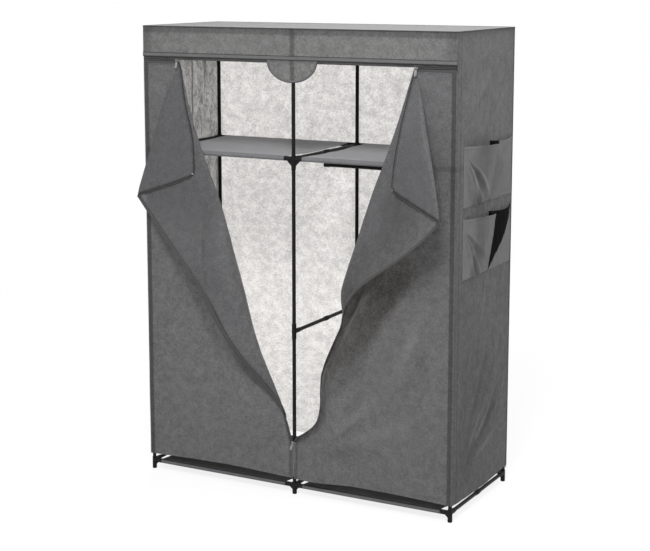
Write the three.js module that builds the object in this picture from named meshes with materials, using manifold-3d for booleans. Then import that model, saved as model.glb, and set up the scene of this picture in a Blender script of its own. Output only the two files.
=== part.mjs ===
// A portable wardrobe: a frame of thin steel tubes and moulded connectors under a sewn
// fabric cover, with two bays, four fabric shelves and one hanging rail. The two front
// doors are unzipped above and folded back twice, and hang from the top zip's sliders.
// Millimetres. +X is the width, seen from the front to the right, +Y goes to the back.
// While the pieces are made, the front left and right posts stand at y = 0, and x = 0 is
// the middle. The finished group is then moved so that its origin is the middle of the
// floor area that the whole wardrobe covers.
import * as THREE from 'three';
import { mergeVertices } from 'three/addons/utils/BufferGeometryUtils.js';
import Module from 'manifold-3d';

const wasm = await Module();
wasm.setup();

// Whole wardrobe
const HEIGHT = 1600;
const POST_SPAN = 1170;
const FRAME_DEPTH = 465;
const BASE_LEVEL = 31.5;
const MIDDLE_LEVEL = 575;
const SHELF_LEVEL = 1167;
const FIT = 0.3;
const OVERRUN = 1;

// Steel tube
const TUBE_DIAMETER = 13;
const TUBE_WALL = 0.7;
const TUBE_SIDES = 10;

// Moulded connectors
const CONNECTOR_WALL = 1.2;
const ARM_REACH = 34;
const SOCKET_DEPTH = 22;
const COLLAR_LIP = 3;
const SLEEVE_DROP = 38;
const TEE_SLEEVE_HALF = 26;
const WEB_THICKNESS = 5;
const WEB_REACH = 24;
const WEB_DROP = 24;
const FOOT_WEB_REACH = 17;
const FOOT_WEB_DROP = 16;
const FOOT_CHAMFER = 1.5;

// Hanging rail
const RAIL_DROP = 46;
const BRACKET_LENGTH = 26;
const BRACKET_RIM = 5;
const BRACKET_GROOVE = 0.5;
const BRACKET_WEB = 7;
const CUP_DEPTH = 16;
const CUP_FLOOR = 4;

// Fabric cover
const CLOTH = 1.2;
const HEM_LEVEL = 58;
const HEM_LIFT = 9;
const BACK_HEM_LEVEL = 47;
const SIDE_HEM_SAG = 8;
const VALANCE_HEIGHT = 106;
const VALANCE_BAND = 15;
const BAND_PROUD = 0.8;
const TAB_WIDTH = 193;
const TAB_DROP = 74;
const TAB_BINDING = 9;
const PANEL_RIPPLE = 2.5;
const PANEL_WAVES = 2;

// Zips
const TAPE_WIDTH = 22;
const TAPE_THICKNESS = 0.8;
const TAPE_LAP = 8;
const COIL_WIDTH = 5;
const COIL_HEIGHT = 1.2;
const SLIDER_FROM_POST = 139;
const CENTRE_ZIP_CLOSED_TO = 190;

// Sliders and pulls
const SLIDER_LENGTH = 14;
const SLIDER_WIDTH = 10;
const SLIDER_TAIL = 6.5;
const SLIDER_THICKNESS = 2.4;
const BRIDGE_LENGTH = 9;
const BRIDGE_BAR = 1.5;
const BRIDGE_GAP = 2.2;
const BRIDGE_WIDTH = 2;
const PULL_LENGTH = 28;
const PULL_TOP_WIDTH = 8;
const PULL_END_WIDTH = 8.8;
const PULL_THICKNESS = 1.2;
const PULL_CROSSBAR = 1.4;
const PULL_EYE_LENGTH = 5.6;
const PULL_EYE_WIDTH = 5.6;
const PULL_GRIP_HOLE = 3.2;
const TOP_PULL_LEAN = THREE.MathUtils.degToRad(14);
const CENTRE_PULL_SLANT = THREE.MathUtils.degToRad(20);

// Side pockets
const POCKET_FRONT = 48;
const POCKET_REAR_MARGIN = 7;
const pocketSeamShare = 0.532;
const POCKET_HEIGHT = 200;
const UPPER_POCKET_LEVEL = 1034;
const LOWER_POCKET_LEVEL = 798;
const POCKET_GAPE = 36;
const POCKET_MOUTH_SAG = 14;
const pleatShare = 0.12;

// Fabric shelves
const SHELF_CLOTH = 1.2;
const SHELF_CLEARANCE = 0.3;
const UPPER_SHELF_SAG = 6;
const BASE_SHELF_SAG = 16;

// Folded doors. Each door fans out from its top slider. The tables say how its two folds
// change on the way down from the slider to the place where the centre zip is joined.
const FOLD_TIP_RADIUS = 0.8;
const FAN_START = 15;
const EDGE_FOLD_RADIUS = 50;
const BACK_FOLD_RADIUS = 13;
const FOLD_STRAY = 40;
const LOOSE_CLOTH = 110;
const LOOSE_RISE = 60.5;
const FOLD_OPENING = THREE.MathUtils.degToRad(40);
const SECOND_FOLD = THREE.MathUtils.degToRad(60);
const LAST_LEAN = THREE.MathUtils.degToRad(6.6);
const DOOR_CORNER = 25;
const cornerTuckShare = 0.1;
const looseFromShare = 0.45;
const knotShares = [0, 0.15, 0.35, 0.55, 0.75, 0.9, 1];
const leftFold = {
  strayShares: [0, -0.34, -0.03, 0.38, -0.05, 0.09, 0],
  edgeShares: [0, 0.15, 0.14, 1.06, 0.62, 0.02, 0],
  backShares: [0, 0.15, 0.15, 0.62, 0.38, 0.15, 0],
  openingShares: [0, -0.01, -0.04, -0.07, 0.96, 0.74, 0],
  secondShares: [0.9, 0.91, 0.99, 1, 1, 1, 1],
  leanShares: [0, 0, 0, 0, 0, 0, 0],
  looseShares: [0, 0, 0, 0, 0.19, 0.27, 0],
};
const rightFold = {
  strayShares: [0, -0.08, 0.155, -0.35, -0.27, -1.05, 0],
  edgeShares: [0, 0.022, 0.02, 0.9, 0.55, 0.024, 0],
  backShares: [0, 1, 0.2, 0.62, 0.38, 0.15, 0],
  openingShares: [0, 0.45, 0.54, 0.705, 1, 0.46, 0],
  secondShares: [0.963, 1.012, 1.012, 1, 1, 1, 1],
  leanShares: [0, 1, 0, 0.24, 0, 0, 0],
  looseShares: [0, 0, 0, 1, 0.9, 0.67, 0.03],
};

// Sizes that follow from those above
const TUBE_RADIUS = TUBE_DIAMETER / 2;
const BORE_RADIUS = TUBE_RADIUS - TUBE_WALL;
const SOCKET_RADIUS = TUBE_RADIUS + FIT;
const SLEEVE_RADIUS = SOCKET_RADIUS + CONNECTOR_WALL;
const TOP_LEVEL = HEIGHT - CLOTH - FIT - SLEEVE_RADIUS;
const SIDE = POST_SPAN / 2;
const TOP_SLIDER_FROM_MIDDLE = SIDE - SLIDER_FROM_POST;
const POCKET_BACK = FRAME_DEPTH - POCKET_REAR_MARGIN;
const SKIN = SLEEVE_RADIUS + FIT + CLOTH / 2;
const COVER_SIDE = SIDE + SKIN;
const COVER_FRONT = -SKIN;
const COVER_BACK = FRAME_DEPTH + SKIN;
const COVER_TOP = HEIGHT - CLOTH / 2;
const CORNER_GAP = CLOTH / 2 + FIT;
const COVER_EDGE = COVER_SIDE + CLOTH / 2;
const VALANCE_HEM = HEIGHT - VALANCE_HEIGHT;
const ZIP_LEVEL = VALANCE_HEM - TAPE_WIDTH / 2;
const DOOR_TOP = VALANCE_HEM - TAPE_WIDTH;
const CLOTH_BACK = COVER_FRONT + CLOTH / 2;
const CLOTH_FACE = COVER_FRONT - CLOTH / 2;
const TAPE_FACE = CLOTH_BACK + FIT;
const SLIDER_BACK = CLOTH_FACE - FIT;
const SLIDER_FACE = SLIDER_BACK - SLIDER_THICKNESS;
const PIVOT_FACE = SLIDER_FACE - BRIDGE_GAP / 2;
const DOOR_EDGE = COIL_WIDTH / 2 + FIT;

// Materials
const finish = (color, roughness, metalness) => () =>
  new THREE.MeshStandardMaterial({ color, roughness, metalness });
const steelFinish = finish(0x15151a, 0.4, 0.5);
const coverFinish = finish(0x686867, 0.92, 0);
const paleFinish = finish(0xd6d4d2, 0.92, 0);
const doorFinish = finish(0x646468, 0.9, 0);
const valanceFinish = finish(0x7a7a7a, 0.92, 0);
const shelfFinish = finish(0x606166, 0.9, 0);
const tapeFinish = finish(0x4c4c4e, 0.85, 0);
const metalFinish = finish(0xc4c6c8, 0.3, 0.9);

const wardrobe = new THREE.Group();
const { lerp, clamp } = THREE.MathUtils;

function place(name, geometry, material) {
  const mesh = new THREE.Mesh(geometry, material());
  mesh.name = name;
  wardrobe.add(mesh);
  return mesh;
}

// Shares the corners of a closed geometry and drops the triangles that this collapses
function weld(geometry) {
  geometry.deleteAttribute('normal');
  geometry.deleteAttribute('uv');
  const welded = mergeVertices(geometry);
  const kept = [];
  const { array } = welded.index;
  for (let i = 0; i < array.length; i += 3) {
    const [a, b, c] = array.slice(i, i + 3);
    if (a !== b && b !== c && c !== a) kept.push(a, b, c);
  }
  welded.setIndex(kept);
  return welded;
}

function solid(geometry) {
  const welded = weld(geometry);
  return new wasm.Manifold(new wasm.Mesh({
    numProp: 3,
    vertProperties: new Float32Array(welded.attributes.position.array),
    triVerts: new Uint32Array(welded.index.array),
  }));
}

function geometryOf(manifold) {
  const mesh = manifold.getMesh();
  const geometry = new THREE.BufferGeometry();
  geometry.setAttribute('position', new THREE.BufferAttribute(mesh.vertProperties, 3));
  geometry.setIndex(new THREE.BufferAttribute(mesh.triVerts, 1));
  return geometry;
}

const union = (first, ...others) => others.reduce((body, next) => body.add(next), first);
const carve = (first, ...others) => others.reduce((body, next) => body.subtract(next), first);

// A profile of [radius, height] pairs turned round the Z axis
function revolve(profile) {
  const points = profile.map(([radius, height]) => new THREE.Vector2(radius, height));
  return new THREE.LatheGeometry(points, TUBE_SIDES).rotateX(Math.PI / 2);
}

const bar = (radius, from, to) => revolve([[0, from], [radius, from], [radius, to], [0, to]]);

function ring(outer, inner, from, to) {
  return revolve([[outer, from], [outer, to], [inner, to], [inner, from], [outer, from]]);
}

// Turns something made along +Z to point along another axis
const turns = {
  right: (geometry) => geometry.rotateY(Math.PI / 2),
  left: (geometry) => geometry.rotateY(-Math.PI / 2),
  back: (geometry) => geometry.rotateX(-Math.PI / 2),
  front: (geometry) => geometry.rotateX(Math.PI / 2),
};
const headings = { right: 0, back: Math.PI / 2, left: Math.PI, front: -Math.PI / 2 };

// The web under an arm, drawn in the plane of the arm and the post
function web(direction, reach, drop) {
  const outline = new THREE.Shape();
  outline.moveTo(0, 0);
  outline.lineTo(0, -drop);
  outline.lineTo(SLEEVE_RADIUS, -drop);
  outline.lineTo(reach, -SLEEVE_RADIUS);
  outline.lineTo(reach, 0);
  const plate = new THREE.ExtrudeGeometry(outline, { depth: WEB_THICKNESS, bevelEnabled: false });
  plate.translate(0, 0, -WEB_THICKNESS / 2).rotateX(Math.PI / 2);
  return solid(plate.rotateZ(headings[direction]));
}

// The plastic outside of one connector, with its arms' axes at the given level. A connector
// without webs has a web drop of nothing.
function connectorBody(level, arms, drop, rise, webReach, webDrop) {
  const pieces = [solid(bar(SLEEVE_RADIUS, -drop, rise))];
  for (const direction of arms) {
    pieces.push(solid(turns[direction](bar(SLEEVE_RADIUS, 0, ARM_REACH))));
    if (webDrop > 0) pieces.push(web(direction, webReach, webDrop));
  }
  return union(...pieces).translate(0, 0, level);
}

function footBody(level, arms) {
  const sleeve = [
    [0, -level], [SLEEVE_RADIUS - FOOT_CHAMFER, -level], [SLEEVE_RADIUS, FOOT_CHAMFER - level],
    [SLEEVE_RADIUS, SLEEVE_RADIUS + COLLAR_LIP], [0, SLEEVE_RADIUS + COLLAR_LIP],
  ];
  const foot = solid(revolve(sleeve)).translate(0, 0, level);
  const armsOnly = connectorBody(
    level, arms, SLEEVE_RADIUS, SLEEVE_RADIUS, FOOT_WEB_REACH, FOOT_WEB_DROP);
  return union(foot, armsOnly);
}

function armSockets(level, arms) {
  return arms.map((direction) =>
    solid(turns[direction](bar(SOCKET_RADIUS, ARM_REACH - SOCKET_DEPTH, ARM_REACH + OVERRUN)))
      .translate(0, 0, level));
}

// How far a connector's sleeve stands above its arms
const topOf = (drop) => (drop === SLEEVE_DROP ? SLEEVE_RADIUS + COLLAR_LIP : TEE_SLEEVE_HALF);

// One post section: a tube pressed into the connector at its lower end. The first section
// stands on a foot, the others push down over the tube below. The last one also carries
// the top connector.
function postSection({ name, x, y, level, arms, firstOne, drop, topArms, nextSocket }) {
  const lower = firstOne
    ? footBody(level, arms)
    : connectorBody(level, arms, drop, topOf(drop), WEB_REACH, drop === SLEEVE_DROP ? WEB_DROP : 0);
  const end = topArms ? TOP_LEVEL : nextSocket - FIT;
  let body = union(lower, solid(bar(TUBE_RADIUS, level, end)));
  const cuts = armSockets(level, arms);
  let boreStart = level - SLEEVE_RADIUS;
  if (!firstOne) {
    const seat = level - drop + SOCKET_DEPTH;
    cuts.push(solid(bar(SOCKET_RADIUS, level - drop - OVERRUN, seat)));
    boreStart = seat - OVERRUN;
  }
  if (topArms) {
    body = union(body, connectorBody(
      TOP_LEVEL, topArms, SLEEVE_DROP, SLEEVE_RADIUS, WEB_REACH, WEB_DROP));
    cuts.push(...armSockets(TOP_LEVEL, topArms));
    cuts.push(solid(bar(BORE_RADIUS, boreStart, TOP_LEVEL)));
  } else {
    cuts.push(solid(bar(BORE_RADIUS, boreStart, end + OVERRUN)));
  }
  place(name, geometryOf(carve(body, ...cuts)), steelFinish).position.set(x, y, 0);
}

const columns = [
  { label: 'left', x: -SIDE, along: ['right'] },
  { label: 'centre', x: 0, along: ['left', 'right'] },
  { label: 'right', x: SIDE, along: ['left'] },
];
const faces = [
  { label: 'front', y: 0, inward: 'back' },
  { label: 'back', y: FRAME_DEPTH, inward: 'front' },
];
const shelfSocket = SHELF_LEVEL - SLEEVE_DROP + SOCKET_DEPTH;
const teeSocket = MIDDLE_LEVEL - TEE_SLEEVE_HALF + SOCKET_DEPTH;

for (const face of faces) {
  for (const column of columns) {
    const spot = { x: column.x, y: face.y };
    const arms = [...column.along, face.inward];
    const braced = column.label === 'centre';
    const tag = `${face.label}_${column.label}`;
    postSection({
      ...spot, name: `post_lower_${tag}`, level: BASE_LEVEL, arms, firstOne: true,
      nextSocket: braced ? teeSocket : shelfSocket,
    });
    if (braced) {
      postSection({
        ...spot, name: `post_middle_${tag}`, level: MIDDLE_LEVEL, arms: [face.inward],
        drop: TEE_SLEEVE_HALF, nextSocket: shelfSocket,
      });
    }
    postSection({
      ...spot, name: `post_upper_${tag}`, level: SHELF_LEVEL, arms,
      drop: SLEEVE_DROP, topArms: arms,
    });
  }
}

// Straight tubes that plug into the arms at both ends
const plugged = ARM_REACH - SOCKET_DEPTH + FIT;
const straightTube = (from, to) => ring(TUBE_RADIUS, BORE_RADIUS, from, to);
const levels = [['base', BASE_LEVEL], ['shelf', SHELF_LEVEL], ['top', TOP_LEVEL]];

for (const [levelLabel, level] of levels) {
  for (const face of faces) {
    for (const half of ['left', 'right']) {
      const from = half === 'left' ? -SIDE : 0;
      const tube = turns.right(straightTube(plugged, SIDE - plugged));
      place(`rail_${levelLabel}_${face.label}_${half}`, weld(tube), steelFinish)
        .position.set(from, face.y, level);
    }
  }
}

const braces = levels.flatMap(([label, level]) => columns.map((column) => [label, level, column]));
braces.push(['middle', MIDDLE_LEVEL, columns[1]]);
for (const [label, level, column] of braces) {
  const tube = turns.back(straightTube(plugged, FRAME_DEPTH - plugged));
  place(`depth_tube_${label}_${column.label}`, weld(tube), steelFinish)
    .position.set(column.x, 0, level);
}

// The hanging rail and its two drop brackets. Each bracket is a clip with a rim at both
// ends round the depth tube, with a web down to a cup that holds the rail's end.
function railBracket(name, x, facing) {
  const half = BRACKET_LENGTH / 2;
  const rim = SLEEVE_RADIUS;
  const waist = rim - BRACKET_GROOVE;
  const waistHalf = half - BRACKET_RIM - BRACKET_GROOVE;
  const clip = turns.back(revolve([
    [rim, -half], [rim, BRACKET_RIM - half], [waist, -waistHalf],
    [waist, waistHalf], [rim, half - BRACKET_RIM], [rim, half],
    [SOCKET_RADIUS, half], [SOCKET_RADIUS, -half], [rim, -half],
  ]));
  const cupStart = -SLEEVE_RADIUS;
  const cupEnd = cupStart + CUP_FLOOR + CUP_DEPTH;
  const cup = turns[facing](bar(SLEEVE_RADIUS, cupStart, cupEnd));
  const hole = turns[facing](bar(SOCKET_RADIUS, cupStart + CUP_FLOOR, cupEnd + OVERRUN));
  const drop = new THREE.BoxGeometry(BRACKET_WEB, SLEEVE_RADIUS * 2, RAIL_DROP);
  drop.translate(0, 0, -RAIL_DROP / 2);
  const body = carve(
    union(solid(clip), solid(drop), solid(cup).translate(0, 0, -RAIL_DROP)),
    solid(hole).translate(0, 0, -RAIL_DROP),
    solid(turns.back(bar(SOCKET_RADIUS, -BRACKET_LENGTH, BRACKET_LENGTH))),
  );
  place(name, geometryOf(body), steelFinish).position.set(x, FRAME_DEPTH / 2, SHELF_LEVEL);
}

railBracket('rail_bracket_centre', 0, 'right');
railBracket('rail_bracket_right', SIDE, 'left');
const railStart = CUP_FLOOR - SLEEVE_RADIUS + FIT;
place('hanging_rail', weld(turns.right(straightTube(railStart, SIDE - railStart))), steelFinish)
  .position.set(0, FRAME_DEPTH / 2, SHELF_LEVEL - RAIL_DROP);

// A closed sheet of cloth over a grid of points on its middle surface
function sheetGeometry(rows, thickness = CLOTH) {
  const lines = rows.length;
  const across = rows[0].length;
  const positions = [];
  const indices = [];
  const step = (i, j, di, dj) => {
    const row = rows[clamp(i + di, 0, lines - 1)];
    return row[clamp(j + dj, 0, across - 1)];
  };
  for (const side of [1, -1]) {
    for (let i = 0; i < lines; i += 1) {
      for (let j = 0; j < across; j += 1) {
        const along = step(i, j, 0, 1).clone().sub(step(i, j, 0, -1));
        const down = step(i, j, 1, 0).clone().sub(step(i, j, -1, 0));
        const normal = along.cross(down).normalize();
        const point = rows[i][j].clone().addScaledVector(normal, side * thickness / 2);
        positions.push(point.x, point.y, point.z);
      }
    }
  }
  const back = lines * across;
  const quad = (a, b, c, d) => indices.push(a, b, c, a, c, d);
  for (let i = 0; i + 1 < lines; i += 1) {
    for (let j = 0; j + 1 < across; j += 1) {
      const a = i * across + j;
      quad(a, a + 1, a + across + 1, a + across);
      quad(back + a, back + a + across, back + a + across + 1, back + a + 1);
    }
  }
  const rim = [];
  for (let j = 0; j < across - 1; j += 1) rim.push(j);
  for (let i = 0; i < lines - 1; i += 1) rim.push(i * across + across - 1);
  for (let j = across - 1; j > 0; j -= 1) rim.push((lines - 1) * across + j);
  for (let i = lines - 1; i > 0; i -= 1) rim.push(i * across);
  rim.forEach((here, k) => {
    const next = rim[(k + 1) % rim.length];
    quad(next, here, back + here, back + next);
  });
  const geometry = new THREE.BufferGeometry();
  geometry.setAttribute('position', new THREE.Float32BufferAttribute(positions, 3));
  geometry.setIndex(indices);
  return geometry;
}

function grid(lines, across, pointAt) {
  return Array.from({ length: lines + 1 }, (_, i) =>
    Array.from({ length: across + 1 }, (__, j) => pointAt(i / lines, j / across)));
}

// Low vertical ripples of a panel that hangs free between two posts, always outwards
function ripple(acrossShare, downShare) {
  const pinned = Math.sin(Math.PI * acrossShare);
  const wave = Math.sin(Math.PI * PANEL_WAVES * acrossShare) ** 2;
  return PANEL_RIPPLE * pinned * wave * downShare;
}

const hemAt = (bayShare, level = HEM_LEVEL) => level + HEM_LIFT * Math.sin(Math.PI * bayShare);
const upperEdge = HEIGHT - CLOTH - FIT;

// A side is drawn tight as far down as the pockets are sewn to it, and ripples below them
function sidePanel(name, sign) {
  const from = COVER_FRONT + CORNER_GAP;
  const to = COVER_BACK - CORNER_GAP;
  const tightShare = (upperEdge - LOWER_POCKET_LEVEL) / (upperEdge - HEM_LEVEL);
  const rows = grid(5, 8, (down, across) => {
    const share = sign > 0 ? across : 1 - across;
    const slack = Math.max(0, down - tightShare) / (1 - tightShare);
    return new THREE.Vector3(
      sign * (COVER_SIDE + ripple(share, slack * slack)),
      lerp(from, to, share),
      lerp(upperEdge, HEM_LEVEL - SIDE_HEM_SAG * Math.sin(Math.PI * share), down));
  });
  place(name, sheetGeometry(rows), coverFinish);
}

sidePanel('left_side_panel', -1);
sidePanel('right_side_panel', 1);

const backRows = grid(5, 12, (down, across) => {
  const share = 1 - across;
  const bay = (share * 2) % 1;
  return new THREE.Vector3(
    lerp(-COVER_EDGE, COVER_EDGE, share),
    COVER_BACK + ripple(bay, down), lerp(upperEdge, hemAt(bay, BACK_HEM_LEVEL), down));
});
place('back_panel', sheetGeometry(backRows), paleFinish);

const roofRows = grid(1, 1, (down, across) => new THREE.Vector3(
  lerp(-COVER_EDGE, COVER_EDGE, across),
  lerp(COVER_BACK + CLOTH / 2, COVER_FRONT - CLOTH / 2, down), COVER_TOP));
place('roof_panel', sheetGeometry(roofRows), paleFinish);

// The valance: a strip with a half-round tab in the middle, bound along its lower edge. The
// same outline, drawn smaller, takes away the sunk field above the binding.
function valanceOutline({ side, top, edge, tabHalf, tabDrop }) {
  const outline = new THREE.Shape();
  outline.moveTo(-side, top);
  outline.lineTo(-side, edge);
  if (edge > VALANCE_HEM) outline.lineTo(-tabHalf, edge);
  outline.absellipse(0, VALANCE_HEM, tabHalf, tabDrop, Math.PI, 0, false);
  if (edge > VALANCE_HEM) outline.lineTo(tabHalf, edge);
  outline.lineTo(side, edge);
  outline.lineTo(side, top);
  return outline;
}

function frontPlate(outline, thickness, faceAt, curveSegments) {
  const plate = new THREE.ExtrudeGeometry(outline, { depth: thickness, bevelEnabled: false, curveSegments });
  return solid(plate.rotateX(Math.PI / 2).translate(0, faceAt + thickness, 0));
}

const TAB_SEGMENTS = 8;
const valanceFull = frontPlate(valanceOutline({
  side: COVER_EDGE, top: upperEdge, edge: VALANCE_HEM, tabHalf: TAB_WIDTH / 2, tabDrop: TAB_DROP,
}), CLOTH + BAND_PROUD, CLOTH_FACE - BAND_PROUD, TAB_SEGMENTS);
const valanceInset = frontPlate(valanceOutline({
  side: COVER_EDGE + OVERRUN, top: HEIGHT, edge: VALANCE_HEM + VALANCE_BAND,
  tabHalf: TAB_WIDTH / 2 - TAB_BINDING, tabDrop: TAB_DROP - TAB_BINDING,
}), BAND_PROUD + OVERRUN, CLOTH_FACE - BAND_PROUD - OVERRUN, TAB_SEGMENTS);
place('front_valance', geometryOf(carve(valanceFull, valanceInset)), valanceFinish);

// Zip tapes with their coil, behind the edges that they join
function strip(left, right, bottom, top) {
  const outline = new THREE.Shape();
  outline.moveTo(left, bottom);
  outline.lineTo(right, bottom);
  outline.lineTo(right, top);
  outline.lineTo(left, top);
  return outline;
}

const frontStrip = (edges, thickness, faceAt) => frontPlate(strip(...edges), thickness, faceAt, 1);
const COIL_FACE = TAPE_FACE - COIL_HEIGHT;
const coilDepth = COIL_HEIGHT + TAPE_THICKNESS;
const closedEnd = COVER_SIDE - CORNER_GAP;
const halfCoil = COIL_WIDTH / 2;

const topTape = union(
  frontStrip([-closedEnd, closedEnd, ZIP_LEVEL, VALANCE_HEM + TAPE_LAP], TAPE_THICKNESS, TAPE_FACE),
  ...[-1, 1].flatMap((sign) => {
    const ends = [sign * closedEnd, sign * TOP_SLIDER_FROM_MIDDLE].sort((a, b) => a - b);
    return [
      frontStrip([...ends, DOOR_TOP - TAPE_LAP, ZIP_LEVEL + OVERRUN], TAPE_THICKNESS, TAPE_FACE),
      frontStrip([...ends, ZIP_LEVEL - halfCoil, ZIP_LEVEL + halfCoil], coilDepth, COIL_FACE),
    ];
  }),
);
place('top_zip_tape', geometryOf(topTape), tapeFinish);

const centreHalf = TAPE_WIDTH / 2 + TAPE_LAP;
const centreTape = union(
  frontStrip([-centreHalf, centreHalf, HEM_LEVEL, CENTRE_ZIP_CLOSED_TO], TAPE_THICKNESS, TAPE_FACE),
  frontStrip([-halfCoil, halfCoil, HEM_LEVEL, CENTRE_ZIP_CLOSED_TO], coilDepth, COIL_FACE),
);
place('centre_zip_tape', geometryOf(centreTape), tapeFinish);

// A smooth curve through a table's values at the knots, which never swings past them
function curveThrough(shares) {
  const last = knotShares.length - 1;
  const gap = (i) => knotShares[i + 1] - knotShares[i];
  const rise = (i) => (shares[i + 1] - shares[i]) / gap(i);
  const slope = (i) => {
    if (i === 0 || i === last) return rise(i === 0 ? 0 : last - 1);
    const before = rise(i - 1);
    const after = rise(i);
    if (before * after <= 0) return 0;
    const early = 2 * gap(i) + gap(i - 1);
    const late = gap(i) + 2 * gap(i - 1);
    return (early + late) / (early / before + late / after);
  };
  return (wanted) => {
    const at = clamp(wanted, 0, 1);
    const i = Math.max(0, knotShares.findLastIndex((knot, k) => k < last && knot <= at));
    const t = (at - knotShares[i]) / gap(i);
    const far = t * t * (3 - 2 * t);
    const bend = slope(i) * t * (1 - t) ** 2 - slope(i + 1) * t * t * (1 - t);
    return shares[i] * (1 - far) + shares[i + 1] * far + gap(i) * bend;
  };
}

// Doors. In a flat door, a point is found by its distance from the slider and its angle
// from straight down. At each distance the cloth runs along the door, turns back round the
// first fold, runs outwards, turns again round the second fold and ends at the top edge.
function makeDoor(name, sign, fold) {
  const apex = TOP_SLIDER_FROM_MIDDLE;
  const reach = apex - DOOR_EDGE;
  const joinDrop = ZIP_LEVEL - CENTRE_ZIP_CLOSED_TO;
  const firstFold = Math.atan2(reach, joinDrop);
  const joinDistance = Math.hypot(reach, joinDrop);
  const quarter = Math.PI / 2;
  const curves = Object.fromEntries(
    Object.entries(fold).map(([table, shares]) => [table, curveThrough(shares)]));

  function foldsAt(distance) {
    const share = (distance - FAN_START) / (joinDistance - FAN_START);
    const edgeRadius = Math.max(FOLD_TIP_RADIUS, EDGE_FOLD_RADIUS * curves.edgeShares(share));
    const backRadius = Math.max(FOLD_TIP_RADIUS, BACK_FOLD_RADIUS * curves.backShares(share));
    const loose = LOOSE_CLOTH * curves.looseShares(share);
    const begin = distance * firstFold + FOLD_STRAY * curves.strayShares(share) - edgeRadius;
    const leaving = Math.PI - FOLD_OPENING * curves.openingShares(share);
    const backTurn = Math.PI - LAST_LEAN * curves.leanShares(share);
    const second = SECOND_FOLD * curves.secondShares(share);
    const a0 = (begin + loose) / distance;
    const a1 = a0 + edgeRadius * leaving / distance;
    const halfBack = backRadius * backTurn / distance / 2;
    return {
      edgeRadius, backRadius, loose, begin, leaving, backTurn, second,
      a0, a1, b0: second - halfBack, b1: second + halfBack,
    };
  }

  function pointAt(distance, angle) {
    const f = foldsAt(distance);
    const alongShare = clamp(angle / f.a0, 0, 1);
    const crestShare = Math.max(0, (alongShare - looseFromShare) / (1 - looseFromShare));
    let across = f.begin * alongShare;
    let out = Math.sqrt(f.loose * LOOSE_RISE) * Math.sin(Math.PI * crestShare) ** 2;
    if (angle > f.a0) {
      const turned = Math.min((angle - f.a0) * distance / f.edgeRadius, f.leaving);
      across += f.edgeRadius * Math.sin(turned);
      out += f.edgeRadius * (1 - Math.cos(turned));
    }
    if (angle > f.a1) {
      const run = (Math.min(angle, f.b0) - f.a1) * distance;
      across += run * Math.cos(f.leaving);
      out += run * Math.sin(f.leaving);
    }
    if (angle > f.b0) {
      const turned = Math.min((angle - f.b0) * distance / f.backRadius, f.backTurn);
      across += f.backRadius * (Math.sin(f.leaving) - Math.sin(f.leaving - turned));
      out += f.backRadius * (Math.cos(f.leaving - turned) - Math.cos(f.leaving));
    }
    if (angle > f.b1) {
      const run = (angle - f.b1) * distance;
      across += run * Math.cos(f.leaving - f.backTurn);
      out += run * Math.sin(f.leaving - f.backTurn);
    }
    const swing = across / distance;
    const lift = out / distance;
    const beyondShare = clamp((angle - f.second) / (quarter - f.second), 0, 1);
    const length = distance * (1 - cornerTuckShare * beyondShare);
    return new THREE.Vector3(
      sign * (apex - length * Math.cos(lift) * Math.sin(swing)),
      COVER_FRONT - length * Math.sin(lift),
      ZIP_LEVEL - length * Math.cos(lift) * Math.cos(swing));
  }

  // Each fan line follows one place of the folds, so it is an angle for every distance
  const cornerAngle = Math.atan2(reach, ZIP_LEVEL - HEM_LEVEL);
  const beforeFoldShare = 0.98;
  const places = [
    () => 0,
    (d) => Math.min(cornerAngle, foldsAt(d).a0 * beforeFoldShare),
    (d) => foldsAt(d).a0,
    (d) => foldsAt(d).a1,
    (d) => foldsAt(d).b0,
    (d) => foldsAt(d).b1,
    () => Math.atan2(reach, DOOR_CORNER),
    () => quarter,
  ];
  const STEPS = [6, 3, 6, 4, 4, 4, 3];
  const fans = STEPS.flatMap((steps, leg) => Array.from({ length: steps }, (_, k) => (d) =>
    lerp(places[leg](d), places[leg + 1](d), k / steps)));
  fans.push(() => quarter);

  // How far a fan line goes before it meets the hem, the zip edge or the rounded corner
  function lengthOf(angleAt) {
    const HALVINGS = 40;
    let near = FAN_START;
    let far = joinDistance * 2;
    for (let k = 0; k < HALVINGS; k += 1) {
      const middle = (near + far) / 2;
      const angle = angleAt(middle);
      const aside = middle * Math.sin(angle) - reach;
      const below = middle * Math.cos(angle);
      const intoCorner = Math.hypot(
        Math.max(0, aside + DOOR_CORNER), Math.max(0, DOOR_CORNER - below)) - DOOR_CORNER;
      if (Math.max(aside, below - (ZIP_LEVEL - HEM_LEVEL), intoCorner) > 0) far = middle;
      else near = middle;
    }
    return near;
  }

  const ROWS = 14;
  const OUTER_LINES = 3;
  const lines = [];
  for (let k = 0; k < OUTER_LINES; k += 1) {
    const x = lerp(COVER_EDGE, apex, k / OUTER_LINES);
    lines.push(Array.from({ length: ROWS + 1 }, (_, i) => new THREE.Vector3(
      sign * x, COVER_FRONT, lerp(DOOR_TOP - FIT, HEM_LEVEL, i / ROWS))));
  }
  for (const angleAt of fans) {
    const length = lengthOf(angleAt);
    lines.push(Array.from({ length: ROWS + 1 }, (_, i) => {
      const distance = lerp(FAN_START, length, i / ROWS);
      return pointAt(distance, angleAt(distance));
    }));
  }
  for (const line of lines) {
    const low = line[ROWS];
    const bayShare = clamp(Math.abs(low.x) / SIDE, 0, 1);
    if (low.z < HEM_LEVEL + HEM_LIFT) low.z = hemAt(bayShare);
  }
  if (sign > 0) lines.reverse();
  const rows = Array.from({ length: ROWS + 1 }, (_, i) => lines.map((line) => line[i]));
  place(name, sheetGeometry(rows), doorFinish);
}

makeDoor('left_door', -1, leftFold);
makeDoor('right_door', 1, rightFold);

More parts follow.
